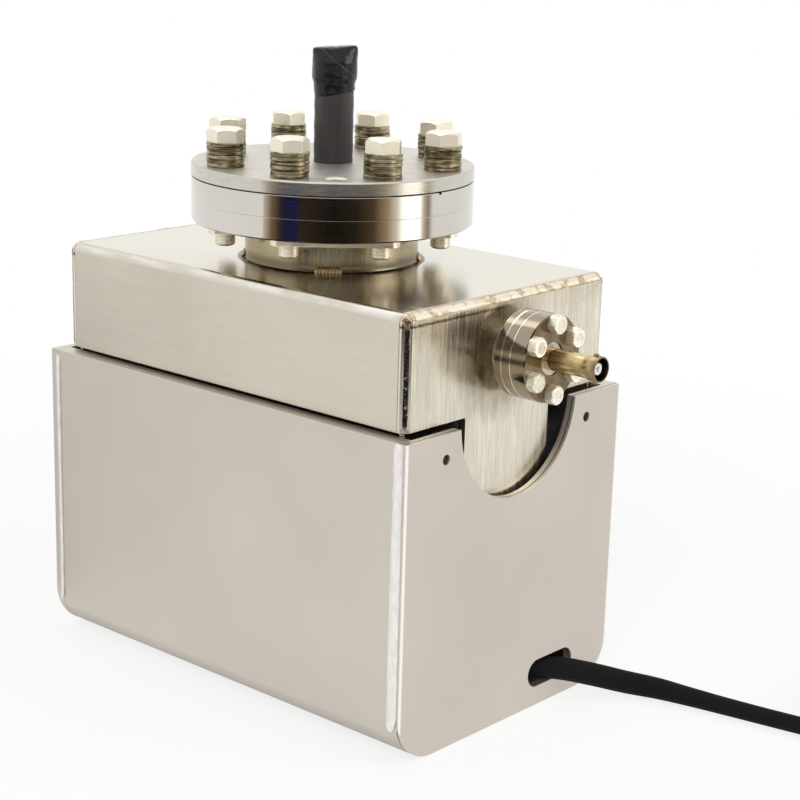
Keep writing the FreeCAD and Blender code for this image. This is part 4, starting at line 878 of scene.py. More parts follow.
class PUMP_OT_stage(bpy.types.Operator):
    """Makes the floor, the sky, the soft lamps and the camera."""
    bl_idname = "pump.stage"
    bl_label = "Stage"

    def execute(self, context):
        chosen = settings("stage")
        scene = context.scene
        scene.view_settings.view_transform = "Standard"
        deselect()
        bpy.ops.mesh.primitive_plane_add(size=5, location=(0, 0, -0.0002))
        floor = called("studio_floor")
        settle(floor)
        floor.data.materials.append(self.floor_paint(chosen))
        wood = (0.75, 0.66, 0.52)
        lamp_glow = (2.0, 1.95, 1.85)
        self.fan("room_card", 0.6, 2.4, -54, 88, [
            (0.0, wood), (0.05, (0.22, 0.15, 0.09)), (0.10, (0.05, 0.03, 0.02)),
            (0.13, (0.012, 0.016, 0.055)), (0.19, (0.010, 0.014, 0.07)),
            (0.22, (0.035, 0.022, 0.014)), (0.40, (0.008, 0.006, 0.004)),
            (0.52, (0.02, 0.013, 0.008)), (0.62, (0.09, 0.055, 0.03)),
            (0.70, (0.42, 0.30, 0.18)), (0.76, (0.9, 0.85, 0.75)), (0.80, lamp_glow),
            (0.90, lamp_glow), (0.93, (0.7, 0.62, 0.5)), (0.965, (0.30, 0.25, 0.2)),
            (1.0, (1.0, 0.97, 0.93))])
        self.fan("side_card", 0.16, 0.8, -135, -82, [(0.0, 0.42), (0.5, 0.48), (1.0, 1.0)])
        self.fan("room_wall", 1.2, 1.2, -50, 62, [
            (0.0, wood), (0.1, (0.10, 0.07, 0.05)), (0.45, (0.02, 0.014, 0.01)),
            (0.8, (0.09, 0.06, 0.04)), (1.0, (0.8, 0.72, 0.6))], 0.3, 1.1)
        self.sky(scene, chosen.sky)
        self.lamp("key_lamp", (-1.3, -0.8, 1.0), 1.0, chosen.key)
        self.lamp("fill_lamp", (0.9, -1.5, 1.1), 1.0, chosen.fill)
        self.lamp("top_lamp", (0.3, 0.6, 2.0), 1.2, chosen.top)
        self.lamp("rear_lamp", (1.6, 1.35, 0.85), 1.3, chosen.rear)
        self.camera(scene, chosen.lens)
        return {"FINISHED"}

    def floor_paint(self, chosen):
        """Pale floor that takes the shadow near the object and goes to plain white further off."""
        paint = Finish("studio_floor_paint")
        paint.set(Base_Color=(*chosen.floor, 1), Roughness=0.9, Specular_IOR_Level=0.0)
        share = paint.times(paint.plain_white(),
                            paint.span(paint.away(), 0.22, 0.55, chosen.floor_glow, 1.0))
        glow = paint.add("ShaderNodeEmission", {"Strength": 1.0})
        surface = paint.shader.outputs[0]
        paint.show(paint.add("ShaderNodeMixShader", {0: share, 1: surface, 2: glow}))
        return paint.material

    def fan(self, name, near, far, first, last, stops, foot=0.001, rise=0.0):
        """A part of the darker room round the table, floor or wall: only polished metal sees it.

        Near, far, foot and rise are in metres, first and last in degrees from the camera's
        own bearing."""
        deselect()
        bpy.ops.mesh.primitive_circle_add(vertices=180, radius=near, fill_type="NOTHING",
                                          location=(0, 0, foot))
        card = called(name)
        bpy.ops.object.mode_set(mode="EDIT")
        bpy.ops.mesh.select_all(action="SELECT")
        bpy.ops.mesh.extrude_edges_move(TRANSFORM_OT_translate={"value": (0, 0, rise)})
        bpy.ops.transform.resize(value=(far / near, far / near, 1), center_override=(0, 0, foot))
        leave_edit()
        camera_bearing = -138.2
        front, first, last = (math.radians(angle) for angle in (camera_bearing, first, last))

        def outside(face):
            middle = face.calc_center_median()
            bearing = math.remainder(math.atan2(middle.y, middle.x) - front, 2 * math.pi)
            return not first < bearing < last

        settle(card)
        pick(card, outside)
        bpy.ops.mesh.delete(type="FACE")
        leave_edit()
        paint = Finish(name + "_paint")
        spot = paint.place(turn=(0, 0, -front))
        bearing = paint.work("ARCTAN2", paint.part(spot, "Y"), paint.part(spot, "X"))
        light = paint.ramp(paint.span(bearing, first, last), stops)
        paint.show(paint.add("ShaderNodeEmission", {"Color": light}))
        card.data.materials.append(paint.material)
        card.visible_camera = False
        card.visible_diffuse = False
        card.visible_transmission = False
        card.visible_shadow = False

    def sky(self, scene, strength):
        """Soft light from all round, which polished faces and the camera see as plain white."""
        world = bpy.data.worlds.new("studio_sky")
        scene.world = world
        world.use_nodes = True
        sky = Nodes(world.node_tree)
        sky.tree.nodes.clear()
        soft = sky.add("ShaderNodeBackground", {"Color": (1.0, 0.985, 0.965, 1),
                                                "Strength": strength})
        white = sky.add("ShaderNodeBackground", {"Color": (1, 1, 1, 1), "Strength": 1.0})
        both = sky.add("ShaderNodeMixShader", {0: sky.plain_white(), 1: soft, 2: white})
        output = sky.tree.nodes.new("ShaderNodeOutputWorld")
        sky.feed(output.inputs["Surface"], both)

    def lamp(self, name, place, width, power):
        """A square soft lamp that points at the object."""
        deselect()
        bpy.ops.object.light_add(type="AREA", location=place)
        lamp = bpy.context.object
        lamp.name = name
        lamp.data.shape = "SQUARE"
        lamp.data.size = width
        lamp.data.energy = power
        lamp.visible_camera = False
        pump_middle = Vector((0, -0.03, 0.12))
        aim = pump_middle - Vector(place)
        lamp.rotation_euler = aim.to_track_quat("-Z", "Y").to_euler()

    def camera(self, scene, lens):
        """The camera, placed as in the photograph."""
        deselect()
        bpy.ops.object.camera_add(location=(-0.5601, -0.5275, 0.3193))
        camera = bpy.context.object
        camera.name = "studio_camera"
        azimuth, lift, roll = (math.radians(value) for value in (-48.23, 15.8, 1.44))
        back = Vector((math.sin(azimuth) * math.cos(lift), -math.cos(azimuth) * math.cos(lift),
                       math.sin(lift)))
        right = Vector((0, 0, 1)).cross(back).normalized()
        up = back.cross(right)
        across = right * math.cos(roll) + up * math.sin(roll)
        upright = up * math.cos(roll) - right * math.sin(roll)
        camera.rotation_mode = "QUATERNION"
        camera.rotation_quaternion = Matrix((across, upright, back)).transposed().to_quaternion()
        camera.data.sensor_width = 36
        camera.data.lens = lens
        camera.data.shift_x = 0.0285
        camera.data.shift_y = 0.0287
        camera.data.clip_start = 0.01
        camera.data.dof.use_dof = False
        scene.camera = camera


# The lead's route over the floor, in millimetres, as in the part, and how thick its braid is.
LEAD_ROUTE = ((16.5, -86.2, 13.5), (29.3, -99.2, 13.4), (43.5, -110.8, 8.9), (53.2, -119.8, 5.3),
              (59.0, -131.0, 4.5), (62.0, -144.0, 4.0), (65.4, -161.0, 3.6), (69.1, -183.0, 3.55),
              (73.4, -205.0, 3.55))
LEAD_GIRTH = (1.25, 1.36, 1.37, 1.34, 1.27, 1.12, 1.02, 0.99, 0.99)
# The middle of the stored coil, the angle where its turns start, how many turns it has, and the
# angle and the level of each point of the tail that leads to the plug.
COIL_MIDDLE = (119.31, -220.94)
COIL_START = 191.06
COIL_TURNS = 6
TAIL = ((193, 17.6), (215, 17.9), (237, 20.0), (259, 20.5))


def coil_point(angle, radius, level):
    """A point round the middle of the stored coil, in millimetres."""
    turn = math.radians(angle)
    return (COIL_MIDDLE[0] + radius * math.cos(turn), COIL_MIDDLE[1] + radius * math.sin(turn),
            level)


def eased(value):
    """From 0 to 1 with a soft start and end."""
    value = min(1.0, max(0.0, value))
    return value * value * (3 - 2 * value)


def coil_row(turns, middle, pitch):
    """Radius and level of the coil after some turns: inwards on the floor, then outwards on top."""
    outer, low = middle + pitch, pitch / 2 + 0.05
    high, crest = low + pitch, TAIL[0][1]
    if turns < 2:
        return outer - pitch * turns, low
    if turns < 3:
        share = turns - 2
        return middle - pitch - 1.5 * math.sin(math.pi * share), low + pitch * eased(share)
    if turns < 5:
        return middle - pitch + pitch * (turns - 3), high
    share = turns - 5
    return outer - pitch * eased((share - 0.3) / 0.6), high + (crest - high) * eased(share / 0.35)


def lead_points(chosen):
    """The route with its coil and tail, in metres, with the girth at each point."""
    points = list(zip(LEAD_ROUTE, LEAD_GIRTH))
    middle, pitch = chosen.coil / MM, chosen.diameter / MM
    coil_girth, tail_girth = 0.96, 0.98
    whole = (TAIL[0][0] + COIL_TURNS * 360 - COIL_START) / 360
    step = 1 / chosen.turn_points
    spread = 1 / math.cos(math.pi * step)
    turns = step * 0.5
    while turns < whole - step * 0.6:
        radius, level = coil_row(turns, middle, pitch)
        points.append((coil_point(COIL_START + 360 * turns, radius * spread, level), coil_girth))
        turns += step
    for angle, level in TAIL:
        points.append((coil_point(angle, middle, level), tail_girth))
    return [([part * MM for part in spot], girth) for spot, girth in points]


class PUMP_OT_lead(bpy.types.Operator):
    """Lays the braided lead over the floor into its tied coil, with the plug on top."""
    bl_idname = "pump.lead"
    bl_label = "Heater lead"

    def execute(self, context):
        chosen = settings("lead")
        curve = bpy.data.curves.new("braided_lead", "CURVE")
        curve.dimensions = "3D"
        spline = curve.splines.new("NURBS")
        points = lead_points(chosen)
        spline.points.add(len(points) - 1)
        for point, (spot, girth) in zip(spline.points, points):
            point.co = (*spot, 1)
            point.radius = girth
        spline.order_u = 3
        spline.use_endpoint_u = True
        curve.resolution_u = 8
        curve.bevel_depth = chosen.diameter / 2
        curve.bevel_resolution = 5
        curve.use_fill_caps = True
        lead = bpy.data.objects.new("braided_lead", curve)
        context.scene.collection.objects.link(lead)
        curve.materials.append(material("braid_black"))
        lead.visible_glossy = False
        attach(lead, "root")
        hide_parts("heater_lead", "heater_lead_coil", "heater_lead_tail")
        plug = self.plug(points[-1][0], points[-2][0])
        tie = dress("lead_tie", "heater_lead_tie", "tie_nylon", "plug", 0.3 * MM)
        prongs = dress("plug_prongs_nickel", "plug_prongs", "prong_nickel", "stainless", 0.25 * MM)
        return {"FINISHED"}

    def plug(self, end, before):
        """A moulded plug whose ribbed neck takes the end of the lead."""
        neck = [(3.9, -1.5), (4.4, -1.0), (4.6, 1.0)]
        for number in range(4):
            level, wider = 2.0 + number * 2.0, 0.3 * number
            neck += [(4.7 + wider, level), (4.1 + wider, level + 0.4), (4.1 + wider, level + 1.0),
                     (4.9 + wider, level + 1.4)]
        neck += [(6.2, 10.2), (6.2, 12)]
        relief = turned("plug_neck", neck, 40)
        relief.rotation_euler = (0, math.radians(90), 0)
        settle(relief)
        shell = block("plug_shell", (10, -9, -6.5), (38, 9, 6.5))
        pick(shell, lambda face: face.normal.x < -0.9)
        bpy.ops.mesh.inset(thickness=2.4 * MM)
        bpy.ops.transform.translate(value=(-0.6 * MM, 0, 0))
        pick(shell, lambda face: abs(face.normal.z) > 0.9)
        bpy.ops.mesh.inset(thickness=3.4 * MM)
        bpy.ops.transform.resize(value=(1, 1, 0.9), center_override=(0, 0, 0))
        leave_edit()
        soften(shell, 2.2 * MM, 4, 40)
        smooth(shell, 40)
        plug = joined([shell, relief], "moulded_plug")
        way = Vector(end) - Vector(before)
        plug.rotation_euler = (0, 0, math.atan2(way.y, way.x))
        plug.location = end
        return fit(plug, "plug_rubber", "plug", "heater_plug")


def scallop(name, width, height, reach, tilt=16):
    """One ripple of a bead that runs upright on a wall at x = 0, leaning out by a few degrees."""
    deselect()
    bpy.ops.mesh.primitive_uv_sphere_add(segments=10, ring_count=6, radius=1)
    piece = called(name)
    piece.scale = (height * MM, width / 2 * MM, reach * MM)
    settle(piece)
    piece.rotation_euler = (0, -math.radians(tilt), 0)
    settle(piece)
    pick(piece, lambda part: True, "VERT")
    bpy.ops.mesh.bisect(plane_co=(0, 0, 0), plane_no=(1, 0, 0), clear_inner=True, use_fill=True)
    leave_edit()
    return outwards(piece)


def bead(name, width, height, pitch, length, seed, overlap=1.15):
    """A straight rippled bead on the wall x = 0, as long above the origin as below it."""
    piece = scallop(name, width, height, pitch * overlap, 18.4 / overlap)
    count = max(2, int(length / pitch))
    step = length / count
    finished_modifier(piece, "ARRAY", count=count, use_relative_offset=False,
                      use_constant_offset=True, constant_offset_displace=(0, 0, step * MM))
    piece.location = (0, 0, (step - length) / 2 * MM)
    settle(piece)
    grain = bpy.data.textures.new(name + "_wander", type="CLOUDS")
    grain.noise_scale = 0.004 + 0.0001 * seed
    for strength, axis in ((height * 0.35, "X"), (width * 0.12, "Y")):
        finished_modifier(piece, "DISPLACE", texture=grain, strength=strength * MM, mid_level=0.5,
                          direction=axis)
    return smooth(piece, 60)


def lay(piece, along, out, middle):
    """Lays an upright bead along a way, with its crest facing out, round a place in millimetres."""
    along, out = Vector(along).normalized(), Vector(out).normalized()
    turn = Matrix((out, along.cross(out), along)).transposed().to_4x4()
    piece.data.transform(Matrix.Translation(Vector(middle) * MM) @ turn)
    return piece


# The four upright corners of the housing and of the chamber: side, then end.
CORNERS = ((-1, -1), (-1, 1), (1, -1), (1, 1))


class PUMP_OT_housing(bpy.types.Operator):
    """Dresses the magnet housing: bent yoke, end plates and their broken edges."""
    bl_idname = "pump.housing"
    bl_label = "Magnet housing"

    def execute(self, context):
        edge = settings("housing").edge
        for name, node, share in (("yoke_shell", "housing_yoke", 1.0),
                                  ("front_sheet", "housing_front_cover", 0.6),
                                  ("front_backing", "housing_front_plate", 0.6),
                                  ("rear_sheet", "housing_rear_plate", 1.0)):
            dress(name, node, "housing_nickel", "housing", edge * share)
        return {"FINISHED"}


class PUMP_OT_housing_beads(bpy.types.Operator):
    """Runs the four rippled beads down the corners of the housing."""
    bl_idname = "pump.housing_beads"
    bl_label = "Housing beads"

    def execute(self, context):
        ripple = settings("housing").ripple / MM
        low, high = corners("housing_corner_welds")
        beads = []
        for number, (side, end) in enumerate(CORNERS):
            width, crest = (5.0, 0.42) if end < 0 else (2.4, 0.15)
            length, overlap = high.z - low.z - 1, 3.4
            piece = bead("housing_bead", width, crest, ripple, length, number, overlap)
            beads.append(lay(piece, (0, 0, 1), (side, 0, 0),
                             (side * (high.x - 0.8), end * (high.y - 3.0), (low.z + high.z) / 2)))
        fit(joined(beads, "housing_beads"), "weld_nickel", "housing", "housing_corner_welds")
        return {"FINISHED"}


class PUMP_OT_chamber(bpy.types.Operator):
    """Dresses the vacuum chamber and its pocket."""
    bl_idname = "pump.chamber"
    bl_label = "Vacuum chamber"

    def execute(self, context):
        edge = settings("chamber").edge
        for name, node, finish in (("chamber_walls", "chamber_shell", "chamber_brushed"),
                                   ("chamber_front", "chamber_front_end", "chamber_front_brushed"),
                                   ("chamber_rear", "chamber_rear_end", "chamber_front_brushed"),
                                   ("pocket_walls", "chamber_pocket", "chamber_brushed")):
            dress(name, node, finish, "chamber", edge)
        return {"FINISHED"}


class PUMP_OT_chamber_beads(bpy.types.Operator):
    """Runs the fine welds down the chamber's corners, over its ends and down its pocket."""
    bl_idname = "pump.chamber_beads"
    bl_label = "Chamber beads"

    def execute(self, context):
        chosen = settings("chamber")
        ripple, half_slope = chosen.ripple / MM, chosen.slope / MM / 2
        low, high = corners("chamber_shell")
        across = high.x - half_slope
        reach = -corners("chamber_front_end")[0].y - half_slope
        down, bands = [], []
        for number, (side, end) in enumerate(CORNERS):
            piece = bead("corner_bead", 2.0, 0.35, ripple, high.z - low.z - 5, number)
            tip = scallop("corner_ball", 2.8, 0.5, 1.5)
            for form, level in ((piece, (low.z + high.z) / 2 - 0.8), (tip, high.z - 3.2)):
                down.append(lay(form, (0, 0, 1), (side, end, 0),
                                (side * across, end * reach, level)))
        for end in (-1, 1):
            length, overlap = 2 * high.x - 7, 1.8
            piece = bead("end_band", 4.0, 0.07, ripple * 0.55, length, 5 + end, overlap)
            bands.append(lay(piece, (1, 0, 0), (0, end, 1), (0, end * reach, high.z - half_slope)))
        fit(joined(down, "chamber_corner_beads"), "weld_dark", "weld")
        fit(joined(bands, "chamber_end_bands"), "weld_ground", "weld")
        self.pocket_seams(ripple)
        return {"FINISHED"}

    def pocket_seams(self, ripple):
        """Fine seams down the corners of the pocket."""
        low, high = corners("chamber_pocket")
        sunk = 0.3
        seams = []
        for number, (side, end) in enumerate(CORNERS):
            piece = bead("pocket_seam", 2.0, 0.9, ripple, high.z - low.z - 6, number)
            seams.append(lay(piece, (0, 0, 1), (side, end, 0),
                             (side * (high.x - sunk), end * (high.y - sunk),
                              (low.z + high.z) / 2)))
        fit(joined(seams, "pocket_seams"), "weld_bright", "weld")


class PUMP_OT_inlet(bpy.types.Operator):
    """Turns the inlet tube, its rippled weld and the polished flange."""
    bl_idname = "pump.inlet"
    bl_label = "Inlet"

    def execute(self, context):
        low, high = corners("inlet_flange")
        base, face, radius = low.z, high.z, high.x
        bore, seat, floor = 33, 41.3, face - 1.3
        middle = (base + face) / 2
        half = settings("inlet").hairline / MM / 2
        ring = turned("polished_flange", [
            (bore, base), (radius - 0.6, base), (radius, base + 0.6),
            (radius, middle - half), (radius - half, middle), (radius, middle + half),
            (radius, face - 0.2), (radius - 0.2, face), (seat, face), (seat, floor),
            (40.0, floor), (38.6, face - 0.8), (37.6, floor), (bore, floor)], 180, closed=True)
        drill(ring, COVER_BOLT_HOLE, base - 1, face + 1, around(*COVER_BOLTS), 32)
        for side in (-1, 1):
            near, far = sorted((side * 41, side * (radius + 2)))
            carve(ring, block("groove", (-0.7, near, face - 0.7), (0.7, far, face + 1)))
        fit(smooth(ring), "flange_polished", "flange", "inlet_flange")
        dress("inlet_nipple", "inlet_tube", "nipple_brushed", "chamber")
        coat("copper_gasket", "inlet_gasket", "feedthrough_gasket")
        self.fillet()
        return {"FINISHED"}

    def fillet(self):
        """The concave, faintly rippled weld round the foot of the inlet tube."""
        low, high = corners("inlet_tube_weld")
        foot, outer, leg = low.z, high.x, high.z - low.z
        inner = outer - leg
        outline = [(inner, foot), (outer, foot)]
        for number in range(1, 6):
            turn = math.radians(15 * number)
            outline.append((inner + leg * math.cos(turn) ** 6, foot + leg * math.sin(turn) ** 6))
        outline.append((inner, foot + leg))
        sides = 280
        ring = turned("inlet_fillet", outline, sides, closed=True)
        column = 2 * math.pi / sides

        def crest(corner):
            spot = corner.co
            number = round(math.atan2(spot.y, spot.x) / column)
            return number % 2 == 0 and spot.xy.length > (inner + 0.05) * MM

        pick(ring, crest, "VERT")
        bpy.ops.transform.resize(value=(1.0015, 1.0015, 1), center_override=(0, 0, foot * MM))
        leave_edit()
        # The fillet takes the tube's finish, with its painted shade.
        fit(smooth(ring, 50), "nipple_brushed", "weld", "inlet_tube_weld")
        ripple = scallop("weld_overlap", 4.2, 0.9, 0.8)
        lay(ripple, (0, 1, 0), (1, 0, 0.7), (inner + 0.4, 0, foot + 1.1))
        starts, ripples, step = (-146, -56, 34, 124), 8, 2.1
        places = [Matrix.Rotation(math.radians(start + step * number), 4, "Z")
                  for start in starts for number in range(ripples)]
        fit(smooth(copies(ripple, places, "weld_overlaps"), 50), "weld_straw", "weld")


class PUMP_OT_cover(bpy.types.Operator):
    """Turns the shipping cover with its holes."""
    bl_idname = "pump.cover"
    bl_label = "Shipping cover"

    def execute(self, context):
        low, high = corners("shipping_cover")
        base, top, radius, tube = low.z, high.z, high.x, 6.35
        disc = turned("turned_cover", [(tube, base), (radius - 0.2, base), (radius, base + 0.2),
                                       (radius, top - 0.6), (radius - 0.6, top), (tube, top)],
                      180, closed=True)
        drill(disc, COVER_BOLT_HOLE, base - 1, top + 1, around(*COVER_BOLTS), 32)
        sink = turned("jack", [(3.5, base - 1), (3.5, top - 0.9), (4.5, top + 0.1)], 40)
        carve(disc, copies(sink, around(COVER_BOLTS[0], 1, -135), "jack"))
        fit(smooth(disc), "cover_turned", "cover", "shipping_cover")
        return {"FINISHED"}


def hexagon_bolt(name, across, low, high, crown, shank, sides):
    """A bolt: a hexagonal head turned off to a crown, on a shank of (radius, level) points."""
    deselect()
    corner = across / math.sqrt(3)
    bpy.ops.mesh.primitive_cylinder_add(vertices=6, radius=corner * MM, depth=(high - low) * MM,
                                        location=(0, 0, (low + high) / 2 * MM))
    head = settle(called(name + "_head"))
    carve(head, turned("crown", crown, 72), "INTERSECT")
    soften(head, 0.14 * MM, 2, 25)
    bolt = joined([head, turned(name + "_shank", shank, sides)], name)
    return even(smooth(bolt, 40))


# How far each bolt of the cover happens to be turned, in degrees.
HEAD_TURNS = (19, 18, 53, 51, 53, 6, 59, 9)


class PUMP_OT_cover_bolts(bpy.types.Operator):
    """Makes the eight hexagon bolts of the cover, with threads at their tips."""
    bl_idname = "pump.cover_bolts"
    bl_label = "Cover bolts"

    def execute(self, context):
        low, high = corners("cover_bolts")
        tip, top = low.z, high.z
        seat, pitch = top - 5.3, 1.25
        root, crest = 3.88, 4.0
        shank = [(2.2, tip), (3.2, tip + 0.3), (root, tip + 0.9)]
        level = tip + 0.9
        while level < tip + 9:
            shank += [(crest, level + 0.45), (crest, level + 0.7), (root, level + 1.0),
                      (root, level + pitch)]
            level += pitch
        shank += [(crest, level + 0.5), (crest, seat + 0.5)]
        crown = [(8.5, seat - 1), (8.5, top - 1.5), (5.9, top), (5.0, top), (5.0, top + 0.01)]
        bolt = hexagon_bolt("cover_bolt", 13.0, seat, top, crown, shank, 28)
        places = around(*COVER_BOLTS, lambda number: math.radians(HEAD_TURNS[number]))
        fit(copies(bolt, places, "hex_bolts"), "bolt_plated", "bolt", "cover_bolts")
        return {"FINISHED"}


class PUMP_OT_cover_washers(bpy.types.Operator):
    """Stacks six slightly uneven washers under each bolt."""
    bl_idname = "pump.cover_washers"
    bl_label = "Cover washers"

    def execute(self, context):
        low, high = corners("cover_washers")
        layers = 6
        base, thick = low.z, (high.z - low.z) / layers
        bore, rim, gap = 4.2, 7.5, 0.03
        ring = turned("washer", [(bore, base + gap), (rim - 0.25, base + gap), (rim, base + 0.3),
                                 (rim, base + thick - 0.3), (rim - 0.25, base + thick - gap),
                                 (bore, base + thick - gap)], 40, closed=True)
        chance = random.Random(11)
        places = []
        for spot in around(*COVER_BOLTS):
            for layer in range(layers):
                slip = Vector((chance.uniform(-0.14, 0.14), chance.uniform(-0.14, 0.14),
                               layer * thick)) * MM
                size = chance.uniform(0.975, 1.0)
                places.append(Matrix.Translation(slip) @ spot
                              @ Matrix.Diagonal((size, size, 1, 1)))
        fit(copies(ring, places, "washer_stacks"), "washer_chromate", "washer", "cover_washers")
        return {"FINISHED"}


class PUMP_OT_plate_nuts(bpy.types.Operator):
    """Dresses the plate nuts under the flange."""
    bl_idname = "pump.plate_nuts"
    bl_label = "Plate nuts"

    def execute(self, context):
        dress("nut_bars", "plate_nuts", "nut_bar_steel", "bolt", 0.4 * MM)
        return {"FINISHED"}


class PUMP_OT_pump_out(bpy.types.Operator):
    """Makes the shrink sleeve and the taped tip of the pump-out tube."""
    bl_idname = "pump.pump_out"
    bl_label = "Pump-out tube"

    def execute(self, context):
        low, high = corners("pump_out_sleeve")
        base, top, radius, bore = low.z, high.z, high.x, 6.4
        outline = [(bore, base), (radius - 0.25, base), (radius, base + 0.4)]
        steps = 18
        for number in range(1, steps):
            level = base + (top - base) * number / steps
            outline.append((radius - 0.08 - 0.08 * math.sin(number * 1.7), level))
        outline += [(radius - 0.1, top - 0.3), (radius - 0.4, top), (bore, top)]
        sleeve = turned("shrink_sleeve", outline, 64, closed=True)
        fit(sleeve, "sleeve_shrink", "sleeve", "pump_out_sleeve")
        self.cap()
        coat("copper_gasket", "pump_out_tube")
        return {"FINISHED"}

    def cap(self):
        """The taped tip: one thin turn below, thick tape above, pinched flat and lapped."""
        low, high = corners("pump_out_cap")
        foot, top = low.z, high.z
        lip, girth = 8.3, 9.0
        shoulder, pinch = foot + 6.2, foot + 12.3
        outline = [(lip - 0.35, foot), (lip, foot + 0.15), (lip, foot + 1.5), (lip, foot + 3.2),
                   (lip + 0.1, foot + 4.5), (girth - 0.2, foot + 5.4), (girth, shoulder)]
        outline += [(girth, shoulder + (pinch - shoulder) * share) for share in (0.35, 0.7, 1.0)]
        straight = len(outline)
        outline += [(girth, pinch + (top - pinch) * share) for share in (0.3, 0.55, 0.8)]
        outline += [(girth - 0.3, top - 0.3), (girth - 1.2, top), (girth - 5, top)]
        tip = turned("taped_tip", outline, 48)
        for radius, level in outline[straight:]:
            pick(tip, lambda corner: abs(corner.co.z / MM - level) < 0.01
                 and abs(corner.co.xy.length / MM - radius) < 0.01, "VERT")
            share = (level - pinch) / (top - pinch)
            bpy.ops.transform.resize(value=(1, 1 - 0.5 * share, 1),
                                     center_override=(0, 0, level * MM))
            leave_edit()
        lower_slant, upper_slant, towards_view = -10.5, -4.0, -48
        self.tilt(tip, lambda level: level < foot + 2, foot + 2, lower_slant)
        self.tilt(tip, lambda level: level > top - 4, top, upper_slant)
        self.lap(tip, foot + 5.8, top)
        finished_modifier(tip, "SUBSURF", levels=2, render_levels=2)
        creases = bpy.data.textures.new("tape_creases", type="CLOUDS")
        creases.noise_scale = 0.006
        finished_modifier(tip, "DISPLACE", texture=creases, strength=0.5 * MM, mid_level=0.6)
        highest = max(corner.co.z for corner in tip.data.vertices)
        tip.location = (0, 0, min(0.0, top * MM - highest))
        settle(tip)
        tip.rotation_euler = (0, 0, math.radians(towards_view))
        fit(smooth(tip, 50), "tape_glossy", "tape", "pump_out_cap")

    def tilt(self, tip, chosen, level, turn):
        """Turns the loops at some levels about the sideways axis; positive lowers the right."""
        pick(tip, lambda corner: chosen(corner.co.z / MM), "VERT")
        bpy.ops.transform.rotate(value=-math.radians(turn), orient_axis="Y",
                                 center_override=(0, 0, level * MM))
        leave_edit()

    def lap(self, tip, start, top):
        """Raises the last turn of tape, from a level up, to one side of a slanting edge."""
        edge, slant = Vector((-6, -9, top)) * MM, Vector((0.62, 0, 0.78))

        def lapped(face):
            middle = face.calc_center_median()
            on_side = middle.y < 0 and abs(face.normal.z) < 0.7
            return on_side and middle.z > start * MM and (middle - edge).dot(slant) < 0

        pick(tip, lambda part: part.co.z > start * MM, "VERT")
        bpy.ops.mesh.bisect(plane_co=edge, plane_no=slant)
        leave_edit()
        pick(tip, lapped)
        bpy.ops.mesh.extrude_region_move()
        bpy.ops.transform.resize(value=(1.0, 1.05, 1), center_override=(0, 0, top * MM))
        leave_edit()


class PUMP_OT_feedthrough(bpy.types.Operator):
    """Turns the two small flanges and dresses the tube behind them."""
    bl_idname = "pump.feedthrough"
    bl_label = "Feedthrough flanges"

    def execute(self, context):
        seal, tube, bore, recess, ceramic = 10.8, 9.5, 8.0, 6.6, 4.2
        low, high = corners("feedthrough_base_flange")
        back, joint, rim = -high.y, -low.y, high.x
        middle = (back + joint) / 2
        base = [(tube, back), (rim - 0.4, back), (rim, back + 0.4), (rim, middle - 0.4),
                (rim - 0.8, middle), (rim, middle + 0.4), (rim, joint), (seal, joint),
                (seal, joint - 1.2), (bore, joint - 1.2), (bore, back + 2.5), (tube, back + 2.5)]
        self.flange("small_base_flange", base, "feedthrough_base_flange")
        low, high = corners("feedthrough_flange")
        back, front = -high.y, -low.y
        face = [(ceramic, back + 1.2), (seal, back + 1.2), (seal, back), (rim, back),
                (rim, front - 0.4), (rim - 0.4, front), (recess, front), (recess, front - 1),
                (ceramic, front - 1)]
        self.flange("small_face_flange", face, "feedthrough_flange")
        dress("small_tube", "feedthrough_tube", "chamber_brushed", "chamber")
        dress("small_tube_bead", "feedthrough_tube_weld", "weld_bright", "weld")
        self.bolts()
        return {"FINISHED"}

    def flange(self, name, outline, node):
        """One small flange with its ring of six holes."""
        low, high = corners(node)
        ring = turned(name, outline, 128, closed=True)
        drill(ring, 2.2, -high.y - 1, -low.y + 1, around(*SMALL_BOLTS), 24)
        smooth(forward(ring, (low.z + high.z) / 2))
        fit(ring, "flange_tinted", "flange", node)

    def bolts(self):
        """The six small bolts, each turned by chance."""
        low, high = corners("feedthrough_bolts")
        front, back = -low.y, -high.y
        seat = front - 3.8
        crown = [(3.75, seat - 1), (3.75, front - 0.75), (3.5, front - 0.3), (3.0, front),
                 (1.7, front), (1.5, front - 0.2), (1.0, front - 0.2)]
        shank = [(1.5, back), (2.0, back + 0.5), (2.0, seat + 0.5)]
        bolt = hexagon_bolt("small_bolt", 7.0, seat, front, crown, shank, 20)
        chance = random.Random(5)
        turns = [chance.uniform(0, math.pi / 3) for number in range(SMALL_BOLTS[1])]
        bolts = copies(bolt, around(*SMALL_BOLTS, lambda number: turns[number]), "small_bolts")
        fit(forward(bolts, (low.z + high.z) / 2), "bolt_plated", "bolt", "feedthrough_bolts")


